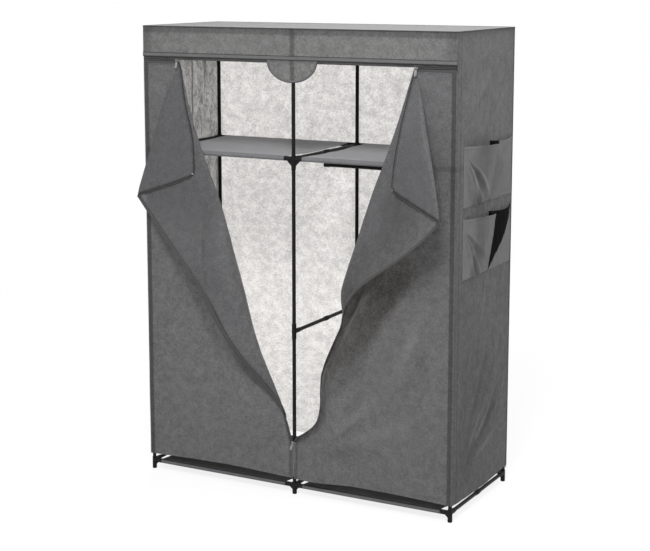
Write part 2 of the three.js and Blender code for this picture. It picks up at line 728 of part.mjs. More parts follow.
// Sliders and pulls. Each is drawn lying in the front plane, with its closed side at the
// bottom, and the top ones are turned so that this side points to the corner.
function sliderSolid(turn) {
  const outline = new THREE.Shape();
  const half = SLIDER_LENGTH / 2;
  outline.moveTo(-SLIDER_TAIL / 2, -half);
  outline.lineTo(SLIDER_TAIL / 2, -half);
  outline.bezierCurveTo(SLIDER_TAIL / 2, 0, SLIDER_WIDTH / 2, 0, SLIDER_WIDTH / 2, half / 2);
  outline.lineTo(SLIDER_TAIL / 2, half);
  outline.lineTo(-SLIDER_TAIL / 2, half);
  outline.lineTo(-SLIDER_WIDTH / 2, half / 2);
  outline.bezierCurveTo(-SLIDER_WIDTH / 2, 0, -SLIDER_TAIL / 2, 0, -SLIDER_TAIL / 2, -half);
  const plate = new THREE.ExtrudeGeometry(
    outline, { depth: SLIDER_THICKNESS, bevelEnabled: false, curveSegments: 4 });
  plate.rotateX(Math.PI / 2).translate(0, SLIDER_BACK, 0).rotateY(turn);

  const arch = new THREE.Shape();
  const rise = BRIDGE_GAP + BRIDGE_BAR;
  const reach = BRIDGE_LENGTH / 2;
  const inside = reach - BRIDGE_BAR;
  arch.moveTo(-reach, -OVERRUN);
  arch.lineTo(-reach, rise / 2);
  arch.quadraticCurveTo(-reach, rise, -inside, rise);
  arch.lineTo(inside, rise);
  arch.quadraticCurveTo(reach, rise, reach, rise / 2);
  arch.lineTo(reach, -OVERRUN);
  arch.lineTo(inside, -OVERRUN);
  arch.lineTo(inside, BRIDGE_GAP);
  arch.lineTo(-inside, BRIDGE_GAP);
  arch.lineTo(-inside, -OVERRUN);
  const bridge = new THREE.ExtrudeGeometry(
    arch, { depth: BRIDGE_WIDTH, bevelEnabled: false, curveSegments: 3 });
  bridge.translate(0, 0, -BRIDGE_WIDTH / 2).rotateZ(Math.PI / 2).rotateY(Math.PI / 2);
  bridge.rotateX(Math.PI / 2).translate(0, SLIDER_FACE, 0);
  return { plate, bridge };
}

function pullGeometry() {
  const outline = new THREE.Shape();
  const top = PULL_CROSSBAR / 2;
  const tip = top - PULL_LENGTH;
  const round = PULL_END_WIDTH / 2;
  const eyeFoot = -top - PULL_EYE_LENGTH;
  const shoulder = eyeFoot - PULL_CROSSBAR;
  outline.moveTo(-PULL_TOP_WIDTH / 2, top);
  outline.lineTo(-PULL_TOP_WIDTH / 2, shoulder);
  outline.absarc(0, tip + round, round, Math.PI, Math.PI * 2, false);
  outline.lineTo(PULL_TOP_WIDTH / 2, shoulder);
  outline.lineTo(PULL_TOP_WIDTH / 2, top);
  const eye = new THREE.Path();
  eye.moveTo(-PULL_EYE_WIDTH / 2, -top);
  eye.lineTo(PULL_EYE_WIDTH / 2, -top);
  eye.lineTo(PULL_EYE_WIDTH / 2, eyeFoot);
  eye.lineTo(-PULL_EYE_WIDTH / 2, eyeFoot);
  const grip = new THREE.Path();
  grip.absarc(0, tip + round, PULL_GRIP_HOLE / 2, 0, Math.PI * 2, true);
  outline.holes.push(eye, grip);
  const plate = new THREE.ExtrudeGeometry(
    outline, { depth: PULL_THICKNESS, bevelEnabled: false, curveSegments: 4 });
  return weld(plate.translate(0, 0, -PULL_THICKNESS / 2).rotateX(Math.PI / 2));
}

const sliders = [
  { label: 'left', x: -TOP_SLIDER_FROM_MIDDLE - SLIDER_LENGTH / 2, z: ZIP_LEVEL, turn: Math.PI / 2 },
  { label: 'right', x: TOP_SLIDER_FROM_MIDDLE + SLIDER_LENGTH / 2, z: ZIP_LEVEL, turn: -Math.PI / 2 },
  { label: 'centre', x: 0, z: CENTRE_ZIP_CLOSED_TO - SLIDER_LENGTH / 2, turn: 0 },
];
for (const slider of sliders) {
  const { plate, bridge } = sliderSolid(slider.turn);
  place(`slider_${slider.label}`, geometryOf(union(solid(plate), solid(bridge))), metalFinish)
    .position.set(slider.x, 0, slider.z);
  const pull = place(`pull_${slider.label}`, pullGeometry(), metalFinish);
  pull.position.set(slider.x, PIVOT_FACE, slider.z);
  if (slider.label === 'centre') pull.rotation.y = CENTRE_PULL_SLANT;
  else pull.rotation.x = -TOP_PULL_LEAN;
}

// A row of two open pockets on the right side, sewn down along the sides, seam and bottom
function pocketRow(name, level) {
  const flat = COVER_SIDE + CLOTH + FIT;
  const rows = grid(5, 14, (down, across) => {
    const inFront = across <= 0.5;
    const local = inFront ? across * 2 : across * 2 - 1;
    const share = inFront ? pocketSeamShare * local : lerp(pocketSeamShare, 1, local);
    const belly = Math.sin(Math.PI * local);
    const fill = Math.sqrt(1 - down);
    const pleat = 1 + pleatShare * Math.cos(4 * Math.PI * local) * down;
    return new THREE.Vector3(
      flat + POCKET_GAPE * belly * fill * pleat,
      lerp(POCKET_FRONT, POCKET_BACK, share),
      lerp(level + POCKET_HEIGHT - POCKET_MOUTH_SAG * belly, level, down));
  });
  place(name, sheetGeometry(rows), coverFinish);
}

pocketRow('pocket_row_upper', UPPER_POCKET_LEVEL);
pocketRow('pocket_row_lower', LOWER_POCKET_LEVEL);

// A fabric shelf between the front and the back rail, with a sleeve round each
function fabricShelf(name, from, level, sag) {
  const inner = TUBE_RADIUS + SHELF_CLEARANCE;
  const outer = inner + SHELF_CLOTH;
  const outline = new THREE.Shape();
  const middle = FRAME_DEPTH / 2;
  const quarter = Math.PI / 2;
  const lap = Math.acos(inner / outer);
  const lapAcross = outer * Math.sin(lap);
  outline.absarc(0, 0, outer, quarter, quarter * 5 - lap, false);
  outline.quadraticCurveTo(middle, inner - sag * 2, FRAME_DEPTH - lapAcross, inner);
  outline.absarc(FRAME_DEPTH, 0, outer, quarter + lap, quarter * 5, false);
  outline.quadraticCurveTo(middle, outer - sag * 2, 0, outer);
  for (const centre of [0, FRAME_DEPTH]) {
    const hole = new THREE.Path();
    hole.absarc(centre, 0, inner, 0, Math.PI * 2, true);
    outline.holes.push(hole);
  }
  const length = SIDE - (ARM_REACH + FIT) * 2;
  const roll = new THREE.ExtrudeGeometry(
    outline, { depth: length, bevelEnabled: false, curveSegments: TUBE_SIDES / 2 });
  roll.rotateX(Math.PI / 2).rotateZ(Math.PI / 2);
  place(name, weld(roll), shelfFinish).position.set(from + ARM_REACH + FIT, 0, level);
}

fabricShelf('shelf_upper_left', -SIDE, SHELF_LEVEL, UPPER_SHELF_SAG);
fabricShelf('shelf_upper_right', 0, SHELF_LEVEL, UPPER_SHELF_SAG);
fabricShelf('shelf_base_left', -SIDE, BASE_LEVEL, BASE_SHELF_SAG);
fabricShelf('shelf_base_right', 0, BASE_LEVEL, BASE_SHELF_SAG);

// The origin is the middle of the floor area
wardrobe.updateMatrixWorld(true);
const bounds = new THREE.Box3().setFromObject(wardrobe, true);
const middle = bounds.getCenter(new THREE.Vector3());
wardrobe.position.set(-middle.x, -middle.y, 0);

export default wardrobe;
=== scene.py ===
import math
from types import SimpleNamespace

import bpy
import numpy as np
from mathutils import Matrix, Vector


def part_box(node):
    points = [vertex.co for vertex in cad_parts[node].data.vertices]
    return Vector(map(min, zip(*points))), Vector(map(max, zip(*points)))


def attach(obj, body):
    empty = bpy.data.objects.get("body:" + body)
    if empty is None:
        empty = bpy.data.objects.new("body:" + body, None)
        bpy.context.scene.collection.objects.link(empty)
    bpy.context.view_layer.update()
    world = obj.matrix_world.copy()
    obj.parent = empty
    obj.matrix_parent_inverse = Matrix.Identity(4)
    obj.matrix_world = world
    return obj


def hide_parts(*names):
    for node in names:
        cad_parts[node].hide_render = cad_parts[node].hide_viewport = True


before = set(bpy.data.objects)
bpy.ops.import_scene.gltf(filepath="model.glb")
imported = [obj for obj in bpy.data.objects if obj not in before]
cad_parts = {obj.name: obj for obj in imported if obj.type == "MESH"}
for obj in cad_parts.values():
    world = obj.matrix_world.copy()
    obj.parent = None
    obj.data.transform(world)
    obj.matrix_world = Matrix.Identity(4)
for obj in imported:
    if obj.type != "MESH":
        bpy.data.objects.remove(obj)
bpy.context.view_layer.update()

# Millimetres, as in the part's source: x 0 is the middle, y 0 the front posts and z 0 the floor
METRE = 1000
HEIGHT, SPAN, DEPTH = 1600.0, 1170.0, 465.0
BASE, SHELF = 31.5, 1167.0
SIDE = SPAN / 2
TUBE, CLOTH, SKIN, GAP = 6.5, 1.2, 8.9, 0.3
COVER_SIDE, COVER_EDGE = SIDE + SKIN, SIDE + SKIN + CLOTH / 2
FRONT, BACK = -SKIN, DEPTH + SKIN
TOP = HEIGHT - CLOTH - GAP
VALANCE_HEM, TAB_HALF, TAB_DROP, TAB_BINDING, BAND = 1494.0, 96.5, 74.0, 9.0, 15.0
ZIP, DOOR_TOP = 1483.0, 1472.0
HEM, HEM_LIFT, BACK_HEM, SIDE_HEM_SAG = 58.0, 9.0, 47.0, 8.0
APEX, JOIN, EDGE, CORNER = 446.0, 190.0, 2.8, 25.0

roof_low, roof_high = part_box("roof_panel")
ORIGIN = np.array([(roof_low.x + roof_high.x) / 2 * METRE,
                   (roof_low.y + roof_high.y) / 2 * METRE - DEPTH / 2, 0.0])
MIDDLE_X, POSTS_Y = ORIGIN[0] / METRE, ORIGIN[1] / METRE


def metres(points):
    return (np.asarray(points, float) + ORIGIN) / METRE


# Materials
class Nodes:
    """A short way to write the nodes of a material or of the world"""

    def __init__(self, owner, output="OutputMaterial"):
        self.owner = owner
        owner.use_nodes = True
        self.tree = owner.node_tree
        self.tree.nodes.clear()
        self.out = self.add(output)

    def add(self, kind, settings=None, **inputs):
        node = self.tree.nodes.new("ShaderNode" + kind)
        for key, value in (settings or {}).items():
            setattr(node, key, value)
        for key, value in inputs.items():
            self.put(node.inputs[key.replace("_", " ")], value)
        return node

    def put(self, socket, value):
        if isinstance(value, bpy.types.NodeSocket):
            self.tree.links.new(value, socket)
        elif isinstance(value, bpy.types.Node):
            self.tree.links.new(value.outputs[0], socket)
        else:
            socket.default_value = value

    def math(self, operation, first, second=0.0, clamp=False):
        node = self.add("Math", {"operation": operation, "use_clamp": clamp})
        self.put(node.inputs[0], first)
        self.put(node.inputs[1], second)
        return node.outputs[0]

    def plus(self, first, second):
        return self.math("ADD", first, second)

    def minus(self, first, second):
        return self.math("SUBTRACT", first, second)

    def times(self, first, *others):
        for other in others:
            first = self.math("MULTIPLY", first, other)
        return first

    def wave(self, along, pace):
        return self.math("SINE", self.times(along, pace))

    def between(self, value, low, high, at_low=0.0, at_high=1.0):
        """A smooth step from one value at low to another at high"""
        node = self.add("MapRange", {"interpolation_type": "SMOOTHSTEP"})
        for socket, x in zip(node.inputs, (value, low, high, at_low, at_high)):
            self.put(socket, x)
        return node.outputs[0]

    def line(self, value, centre, half, soft):
        """1 within half of the centre, fading to 0 over soft"""
        away = self.math("ABSOLUTE", self.minus(value, centre))
        return self.between(away, half, half + soft, 1.0, 0.0)

    def blend(self, factor, first, second):
        node = self.add("Mix", {"data_type": "RGBA"})
        for index, value in ((0, factor), (6, first), (7, second)):
            self.put(node.inputs[index], value)
        return node.outputs[2]

    def join(self, factor, first, second):
        """One shader, and another by a factor"""
        node = self.add("MixShader", Fac=factor)
        self.put(node.inputs[1], first)
        self.put(node.inputs[2], second)
        return node

    def noise(self, vector, scale, detail, roughness):
        return self.add(
            "TexNoise", Vector=vector, Scale=scale, Detail=detail, Roughness=roughness).outputs[0]

    def stretched(self, vector, scales):
        """A place scaled along each axis, which draws a pattern out"""
        node = self.add("VectorMath", {"operation": "MULTIPLY"}, Vector=vector)
        self.put(node.inputs[1], scales)
        return node

    def flat_cut(self):
        """Places in the flat cut of a piece, in metres"""
        return self.add("SeparateXYZ", Vector=self.add("TexCoord").outputs["UV"]).outputs

    def finish(self, surface):
        self.put(self.out.inputs[0], surface)
        return self.owner


def grey(value, tint=(1.0, 1.0, 1.0)):
    """An sRGB grey from 0 to 255 as a linear colour"""
    share = value / 255
    linear = share / 12.92 if share <= 0.04045 else ((share + 0.055) / 1.055) ** 2.4
    return (linear * tint[0], linear * tint[1], linear * tint[2], 1.0)


def greys(light, dark, tint=(1.0, 1.0, 1.0)):
    return grey(light, tint), grey(dark, tint)


# Features of the cloth a metre: bonded grain and dots, fibre, clumps, blotches, streaks, stitches
GRAIN, DOTS, FIBRE, CLUMPS, BLOTCHES, STREAKS, STITCHES = 330.0, 520.0, 170.0, 38.0, 7.0, 34.0, 1800.0
DOT_RELIEF, SEAM_RELIEF, CLOTH_RELIEF = 0.3, 1.6, 0.0006
# How far painted folds wander
PAINTED_FOLD_WOBBLE = 0.06

# Marks on a door, in metres and in radians round its top slider: the tape's, and painted shade
# on the turned-out flap, aslant under the right flap and in a strip beside its zip. The tape's are
# (from, to, depth, tone), inward from the zip's edge.
TAPE_MARKS = ((0.0115, 0.0125, 0.22, grey(40)), (0.0045, 0.006, 0.9, grey(34)))
TAPE_STEP = (0.011, 0.0125, 1.2, 0.0)
TAPE_SEAM, TAPE_SEAM_HALF = 0.0105, 0.0006
BESIDE_FLAP, JOIN_FADE = (0.44, 0.46), 0.006
FLAP_SHADE_START, FLAP_SHADE_END = (0.4, 0.62), (1.0, 1.06)
PATCH_X, PATCH_Z, PATCH_RUN, PATCH_RISE, PATCH_HALF, PATCH_SOFT = 0.26, 0.63, 0.549, 0.836, 0.042, 0.04
PATCH_SIDE, PATCH_FOOT, PATCH_HEAD = (0.42, 0.46), (0.40, 0.54), (0.80, 0.92)
FLAP_SHADOW_TONES = (grey(30, (1.0, 0.9, 0.8)), grey(62, (1.0, 0.93, 0.86)))
GAP_SHADOW_START, GAP_SHADOW_END, GAP_SHADOW_DEPTH = (0.30, 0.325), (0.56, 0.66), 0.75


class Cloth(Nodes):
    """Nonwoven cloth: a plain face with a fine bonded grain, and mottled fibre that shows where
    light comes through. Its marks, many of them painted light and shade, lie by place or in the flat
    cut."""

    def __init__(self, name, face, through, blotch, stretch):
        super().__init__(bpy.data.materials.new(name))
        self.at = self.add("TexCoord").outputs["Object"]
        self.place = self.add("SeparateXYZ", Vector=self.at).outputs
        self.cut = self.flat_cut()
        drawn = self.stretched(self.at, stretch)
        grain = self.noise(drawn, GRAIN, 4.0, 0.7)
        fibre = self.noise(drawn, FIBRE, 6.0, 0.75)
        clumps = self.noise(drawn, CLUMPS, 5.0, 0.7)
        blotches = self.noise(self.at, BLOTCHES, 3.0, 0.55)
        mixed = self.plus(self.times(fibre, 0.6), self.times(clumps, 0.4))
        self.mottle = self.between(mixed, 0.32, 0.68)
        self.colour = self.blend(self.mottle, face[1], face[0])
        self.shade(self.between(blotches, 0.35, 0.7, 0.0, blotch), face[1])
        self.passed = self.blend(self.mottle, through[1], through[0])
        dots = self.add(
            "TexVoronoi", {"feature": "F1", "distance": "EUCLIDEAN"},
            Vector=self.at, Scale=DOTS, Randomness=0.15).outputs["Distance"]
        self.height = self.plus(
            self.times(self.plus(grain, fibre), 0.5), self.times(dots, DOT_RELIEF))

    def shade(self, mask, tone):
        self.colour = self.blend(mask, self.colour, tone)

    def streaks(self, depth):
        """Tall dark streaks in the light that comes through"""
        tall = self.stretched(self.at, (1.0, 1.0, 0.07))
        mask = self.between(self.noise(tall, STREAKS, 3.0, 0.6), 0.52, 0.66, 0.0, depth)
        self.passed = self.blend(mask, self.passed, grey(60))

    def band(self, mask, depth, tone):
        """A darker band in the face and in the light that comes through, mostly painted shade"""
        mask = self.times(mask, depth)
        self.shade(mask, tone)
        self.passed = self.blend(mask, self.passed, grey(30))

    def fold(self, axis, start, low, end, high, half, depth):
        """A painted fold from one place up to another: painted shade where its depth is below 0, else
        painted light
        """
        shift = axis * POSTS_Y
        long = math.hypot(end - start, high - low)
        run, rise = (end - start) / long, (high - low) / long
        aside, up = self.minus(self.place[axis], start + shift), self.minus(self.place[2], low)
        across = self.minus(self.times(aside, rise), self.times(up, run))
        along = self.plus(self.times(aside, run), self.times(up, rise))
        wobble = self.times(self.minus(self.noise(self.at, 3.0, 2.0, 0.5), 0.5), PAINTED_FOLD_WOBBLE)
        mask = self.times(
            self.line(self.plus(across, wobble), 0.0, half * 0.3, half),
            self.between(along, -0.1 * long, 0.35 * long),
            self.between(along, 0.5 * long, 1.1 * long, abs(depth), 0.0))
        self.shade(mask, grey(34) if depth < 0 else grey(150))

    def seam(self, across, along, centre, half):
        """A row of stitches in a shallow groove"""
        mask = self.line(across, centre, half, half)
        thread = self.between(self.wave(along, STITCHES), -0.7, 0.1)
        self.shade(self.times(mask, thread, 0.55), grey(42))
        self.height = self.minus(self.height, self.times(mask, SEAM_RELIEF))

    def door_edge(self, turned, under):
        """The tape's marks round a door's zip edge, and painted shade on its turned-out flap and under
        it.
        Gives the tape's seam."""
        x, z = self.cut[0], self.cut[1]
        aside = self.math("MAXIMUM", self.minus((EDGE + CORNER) / METRE, x))
        above = self.math("MAXIMUM", self.minus(z, (ZIP - CORNER) / METRE))
        out = self.math("SQRT", self.plus(self.times(aside, aside), self.times(above, above)))
        inward = self.minus(CORNER / METRE, out)
        angle = self.math("ARCTAN2", self.minus(APEX / METRE, x), self.minus(ZIP / METRE, z))
        opened = self.between(z, JOIN / METRE - JOIN_FADE, JOIN / METRE + JOIN_FADE)
        # Painted shade on the turned-out flap
        self.shade(self.times(self.between(angle, *FLAP_SHADE_START),
                              self.between(angle, *FLAP_SHADE_END, 1.0, 0.0), turned), grey(42))
        if under:
            self.shade_under_flap(angle, opened, under)
        for low, high, depth, tone in TAPE_MARKS:
            self.shade(self.times(self.between(inward, low, high, depth, 0.0), opened), tone)
        self.height = self.plus(self.height, self.between(inward, *TAPE_STEP))
        return inward, self.plus(x, z), TAPE_SEAM, TAPE_SEAM_HALF

    def shade_under_flap(self, angle, opened, depth):
        """Painted shade: the brownish shadow aslant under the flap, and a dark strip of shadow beside
        its zip's edge
        """
        x, z = self.place[0], self.place[2]
        aslant = self.minus(self.times(self.minus(x, PATCH_X), PATCH_RISE),
                            self.times(self.minus(z, PATCH_Z), PATCH_RUN))
        mask = self.times(
            self.line(aslant, 0.0, PATCH_HALF, PATCH_SOFT),
            self.between(angle, *PATCH_SIDE, 1.0, 0.0),
            self.between(z, *PATCH_FOOT), self.between(z, *PATCH_HEAD, depth, 0.0))
        self.shade(mask, self.blend(self.mottle, *FLAP_SHADOW_TONES))
        strip = self.between(angle, *GAP_SHADOW_START, 0.0, GAP_SHADOW_DEPTH)
        self.shade(self.times(strip, opened, self.between(z, *GAP_SHADOW_END, 1.0, 0.0)), grey(34))

    def surface(self, thin, specular, sheen):
        bump = self.add("Bump", Strength=0.55, Distance=CLOTH_RELIEF, Height=self.height)
        face = self.add("BsdfPrincipled", Base_Color=self.colour, Roughness=0.9, Normal=bump)
        face.inputs["Specular IOR Level"].default_value = specular
        face.inputs["Sheen Weight"].default_value = sheen
        face.inputs["Sheen Roughness"].default_value = 0.5
        if not thin:
            return self.finish(face)
        behind = self.add("BsdfTranslucent", Color=self.passed, Normal=bump)
        return self.finish(self.join(thin, face, behind))


def cloth(name, face, through=None, thin=0.3, painted_shade_bands=(), cut_bands=(), seams=(), edge=None,
          blotch=0.12, stretch=(1.0, 1.0, 1.0), streak=0.0, tone=grey(42), folds=(0, ()),
          specular=0.25, sheen=0.1):
    """A cloth's material, with its marks in metres. Bands, by place or in the flat cut, are
    (axis, centre, half width, softness, depth), mostly painted shade. Seams are (axis, centre,
    half width) in the flat cut. Folds are painted light and shade along one axis and up:
    (start, low, end, high, half width, depth). A door's edge has the depths of its two painted
    shades, on its turned-out flap and under it."""
    n = Cloth(name, face, through or face, blotch, stretch)
    if streak:
        n.streaks(streak)
    for axis, *where, depth in painted_shade_bands:
        n.band(n.line(n.place[axis], *where), depth, tone)
    for axis, *where, depth in cut_bands:
        mask = n.line(n.cut[axis], *where)
        if edge and axis == 1:
            mask = n.times(mask, n.between(n.cut[0], *BESIDE_FLAP))
        n.band(mask, depth, tone)
    axis, rows = folds
    for row in rows:
        n.fold(axis, *row)
    sewn = [(n.cut[axis], n.cut[1 - axis], centre, half) for axis, centre, half in seams]
    if edge:
        sewn.append(n.door_edge(*edge))
    for seam in sewn:
        n.seam(*seam)
    return n.surface(thin, specular, sheen)


def hard(name, base, worn, roughness, relief, scale, metallic=0.0, specular=0.5):
    """Paint, plastic or metal with fine specks. Their relief is in metres."""
    n = Nodes(bpy.data.materials.new(name))
    at = n.add("TexCoord").outputs["Object"]
    speck = n.noise(at, scale, 3.0, 0.6)
    broad = n.noise(at, 18.0, 3.0, 0.6)
    colour = n.blend(n.between(broad, 0.3, 0.75, 0.0, 0.35), base, worn)
    rough = n.plus(n.times(speck, 0.14), roughness - 0.07)
    bump = n.add("Bump", Strength=0.3, Distance=relief, Height=speck)
    surface = n.add(
        "BsdfPrincipled", Base_Color=colour, Roughness=rough, Metallic=metallic, Normal=bump)
    surface.inputs["Specular IOR Level"].default_value = specular
    return n.finish(surface)


def woven(name, light, dark, threads=5200.0):
    """Zip tape: fine twill aslant in the flat cut"""
    n = Nodes(bpy.data.materials.new(name))
    cut = n.flat_cut()
    slant = n.plus(n.times(cut[0], threads), n.times(cut[1], threads))
    thread = n.between(n.math("SINE", slant), -1.0, 1.0)
    bump = n.add("Bump", Strength=0.6, Distance=0.0002, Height=thread)
    surface = n.add(
        "BsdfPrincipled", Base_Color=n.blend(thread, dark, light), Roughness=0.8, Normal=bump)
    surface.inputs["Sheen Weight"].default_value = 0.1
    return n.finish(surface)


def coil(name, beads=4200.0):
    """A nylon coil: rounded beads along the flat cut's second axis, with painted light on their crests
    and painted shade between them
    """
    n = Nodes(bpy.data.materials.new(name))
    bead = n.between(n.wave(n.flat_cut()[1], beads), -0.7, 0.7)
    bump = n.add("Bump", Strength=0.9, Distance=0.0006, Height=bead)
    return n.finish(n.add("BsdfPrincipled", Base_Color=n.blend(bead, grey(26), grey(70)),
                          Roughness=0.42, Normal=bump))


WARM, COOL = (1.0, 0.975, 0.95), (1.0, 1.0, 1.04)
THROUGH = (grey(216, WARM), grey(78, (1.0, 0.95, 0.9)))
# Painted shade on the sides where the frame lies behind the cloth, by the front and back posts and at
# the shelf's height, and darker towards the bottom where less light falls
SIDE_SHADE_BANDS = [(1, POSTS_Y + 0.023, 0.0012, 0.0015, 0.6),
              (1, POSTS_Y + BACK / METRE - 0.003, 0.004, 0.002, 0.7),
              (2, SHELF / METRE, 0.006, 0.007, 0.2), (2, 0.2, 0.45, 0.5, 0.3)]
# Painted light and shade of folds on the right side, by y and z
SIDE_PAINTED_FOLDS = {"left": (), "right": (
    (0.085, 0.165, 0.27, 0.36, 0.007, 0.3), (0.10, 0.15, 0.30, 0.35, 0.009, -0.35),
    (0.14, 0.20, 0.38, 0.40, 0.008, 0.25), (0.17, 0.19, 0.42, 0.37, 0.009, -0.3),
    (0.15, 0.14, 0.42, 0.24, 0.008, 0.2), (0.20, 0.60, 0.26, 0.78, 0.01, 0.16),
    (0.05, 0.30, 0.12, 0.62, 0.012, -0.18), (0.33, 0.42, 0.40, 0.62, 0.01, 0.14))}
# Both sides are one cloth. The left's copy lets more and brighter light through than the right's:
# painted light on its inner face, seen through the opening
SIDES = {
    side: cloth(f"{side}_side_cloth", greys(94, 80), through=through, thin=thin, painted_shade_bands=SIDE_SHADE_BANDS,
                stretch=(1.0, 1.0, stretch), streak=streak, folds=(1, SIDE_PAINTED_FOLDS[side]))
    for side, through, thin, stretch, streak in (
        ("left", greys(255, 70, WARM), 0.42, 0.5, 0.7), ("right", greys(196, 96), 0.28, 0.85, 0.2))}
BACK_CLOTH = cloth("back_cloth", greys(255, 232, WARM), thin=0.6, blotch=0.15,
                   through=greys(255, 168, WARM), stretch=(0.75, 1.0, 1.0))
ROOF_CLOTH = cloth("roof_cloth", greys(172, 150), thin=0.4)
# Painted shade on the valance where the middle tube, the top rail and the corner posts lie behind it
VALANCE_CLOTH = cloth("valance_cloth", greys(110, 95), through=THROUGH, painted_shade_bands=[
    (0, MIDDLE_X, 0.005, 0.007, 0.4), (2, 1.588, 0.007, 0.008, 0.35),
    (0, MIDDLE_X - 0.58, 0.012, 0.03, 0.22), (0, MIDDLE_X + 0.58, 0.012, 0.03, 0.22)])
# Dark lines along the binding's two edges: painted shade at its raised rims
BINDING = cloth("binding_cloth", greys(92, 84), thin=0.0, cut_bands=[
    (0, 0.0012, 0.0012, 0.0008, 0.85), (0, 0.0138, 0.0012, 0.0008, 0.85)])
PIPING = cloth("piping_cloth", greys(62, 50), thin=0.0)
# Painted light and shade of folds on the right door, by x and z
DOOR_PAINTED_FOLDS = {"left": (), "right": (
    (0.10, 0.29, 0.27, 0.53, 0.022, -0.32), (0.16, 0.24, 0.36, 0.42, 0.02, 0.14),
    (0.20, 0.20, 0.50, 0.35, 0.018, 0.12), (0.40, 0.40, 0.55, 0.66, 0.02, -0.2),
    (0.36, 0.44, 0.50, 0.72, 0.02, 0.14))}
# Painted shade on the doors where the corner posts and the shelf's rail lie behind the cloth, and on
# each turned-out flap and under it, far deeper on the right door than on the left
DOOR_CLOTHS = {
    side: cloth(
        f"{side}_door_cloth", greys(93, 83, COOL), thin=0.24, through=THROUGH, edge=edge,
        folds=(0, DOOR_PAINTED_FOLDS[side]), seams=[(1, (HEM + 14) / METRE, 0.0005)],
        cut_bands=[(0, SIDE / METRE - 0.002, 0.006, 0.003, 0.6), (0, 0.0095, 0.001, 0.001, 0.5),
                   (1, SHELF / METRE, 0.006, 0.005, 0.25)])
    for side, edge in (("left", (0.08, 0.0)), ("right", (0.45, 0.85)))}
# Painted shade on the shelf's sleeves round the front and back rails, deeper at the back
SHELF_CLOTH = cloth("shelf_cloth", greys(144, 130, COOL), thin=0.1, cut_bands=[
    (1, 0.022, 0.026, 0.003, 0.5), (1, 0.532, 0.026, 0.003, 0.75)])
# The base shelf's flat top is painted near black: painted shadow of the door cloth above it
BASE_CLOTH = cloth("base_shelf_cloth", greys(92, 80, COOL), thin=0.0, tone=grey(10),
                   cut_bands=[(1, 0.3, 0.262, 0.004, 0.97)])
# Painted light and shade of creases on the pockets, by y and z; the pocket cloth's flat-cut band is
# painted shade in the front pocket's hollow
POCKET_PAINTED_FOLDS = (
    (0.262, 1.055, 0.318, 1.215, 0.007, -0.7), (0.255, 1.05, 0.250, 1.21, 0.014, -0.45),
    (0.148, 1.04, 0.086, 1.17, 0.007, 0.3), (0.240, 1.05, 0.124, 1.16, 0.007, 0.3),
    (0.185, 1.04, 0.105, 1.16, 0.012, -0.3), (0.10, 0.80, 0.13, 0.96, 0.012, 0.12))
POCKET_CLOTH = cloth("pocket_cloth", greys(99, 84), thin=0.0, seams=[(1, 0.188, 0.0005)],
                     folds=(1, POCKET_PAINTED_FOLDS), cut_bands=[(0, 0.160, 0.012, 0.055, 0.42)])
# Near-black cloth without sheen: painted shadow in the deep V between the pockets and on the cloth's
# inner face
POCKET_SHADOW = cloth("pocket_painted_shadow", greys(14, 8), thin=0.0, specular=0.05, sheen=0.0)
TAPE = woven("zip_tape", grey(60), grey(42))
PALE_TAPE = woven("centre_zip_tape", grey(100), grey(84))
COIL = coil("zip_coil")
STEEL = hard("painted_steel", grey(13), grey(18), 0.45, 0.00003, 1400.0, specular=0.15)
PLASTIC = hard("moulded_plastic", grey(15), grey(22), 0.55, 0.00008, 900.0, specular=0.15)
METAL = hard("bright_metal", grey(150), grey(104), 0.4, 0.00002, 1200.0, metallic=1.0)


# Mesh helpers
def make(name, points, faces, materials, uvs):
    mesh = bpy.data.meshes.new(name)
    mesh.from_pydata(metres(points).tolist(), [], faces)
    mesh.update()
    for material in materials:
        mesh.materials.append(material)
    layer = mesh.uv_layers.new(name="cut")
    loops = np.zeros(len(mesh.loops), np.int32)
    mesh.loops.foreach_get("vertex_index", loops)
    layer.data.foreach_set("uv", (np.asarray(uvs, float)[loops] / METRE).ravel())
    mesh.polygons.foreach_set("use_smooth", [True] * len(mesh.polygons))
    obj = bpy.data.objects.new(name, mesh)
    bpy.context.scene.collection.objects.link(obj)
    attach(obj, "frame_and_cover")
    return obj


def grid_faces(rows, columns, wrap=False):
    i, j = np.meshgrid(np.arange(rows - 1), np.arange(columns if wrap else columns - 1),
                       indexing="ij")
    k = (j + 1) % columns
    a, b = i * columns + j, i * columns + k
    c, d = (i + 1) * columns + k, (i + 1) * columns + j
    return np.stack([a, d, c, b], -1).reshape(-1, 4).tolist()


def sheet(name, points, uvs, outer, inner=None, thickness=CLOTH):
    """Cloth over a grid of points on its middle surface, whose normals point to the outer face.
    With a thickness of 0 it stays a single open surface."""
    rows, columns = points.shape[:2]
    obj = make(name, points.reshape(-1, 3), grid_faces(rows, columns), [outer, inner or outer],
               uvs.reshape(-1, 2))
    if thickness:
        solid = obj.modifiers.new("thickness", "SOLIDIFY")
        solid.thickness = thickness / METRE
        solid.offset = 0.0
        solid.material_offset, solid.material_offset_rim = 1, 0
    return obj


def shares(rows, columns):
    """Shares from 0 to 1 down and across a grid"""
    return np.meshgrid(np.linspace(0, 1, rows), np.linspace(0, 1, columns), indexing="ij")


def ramp(value, start, end):
    """0 at the start and 1 at the end, straight between them"""
    return np.clip((value - start) / (end - start), 0, 1)


def run_lengths(line):
    """How far each point of a line is along it"""
    return np.r_[0, np.cumsum(np.linalg.norm(np.diff(line, axis=0), axis=1))]


def normals(points):
    n = np.cross(np.gradient(points, axis=0), np.gradient(points, axis=1))
    return n / np.maximum(np.linalg.norm(n, axis=-1, keepdims=True), 1e-9)


WAVES, PHASES = 5, 6.28


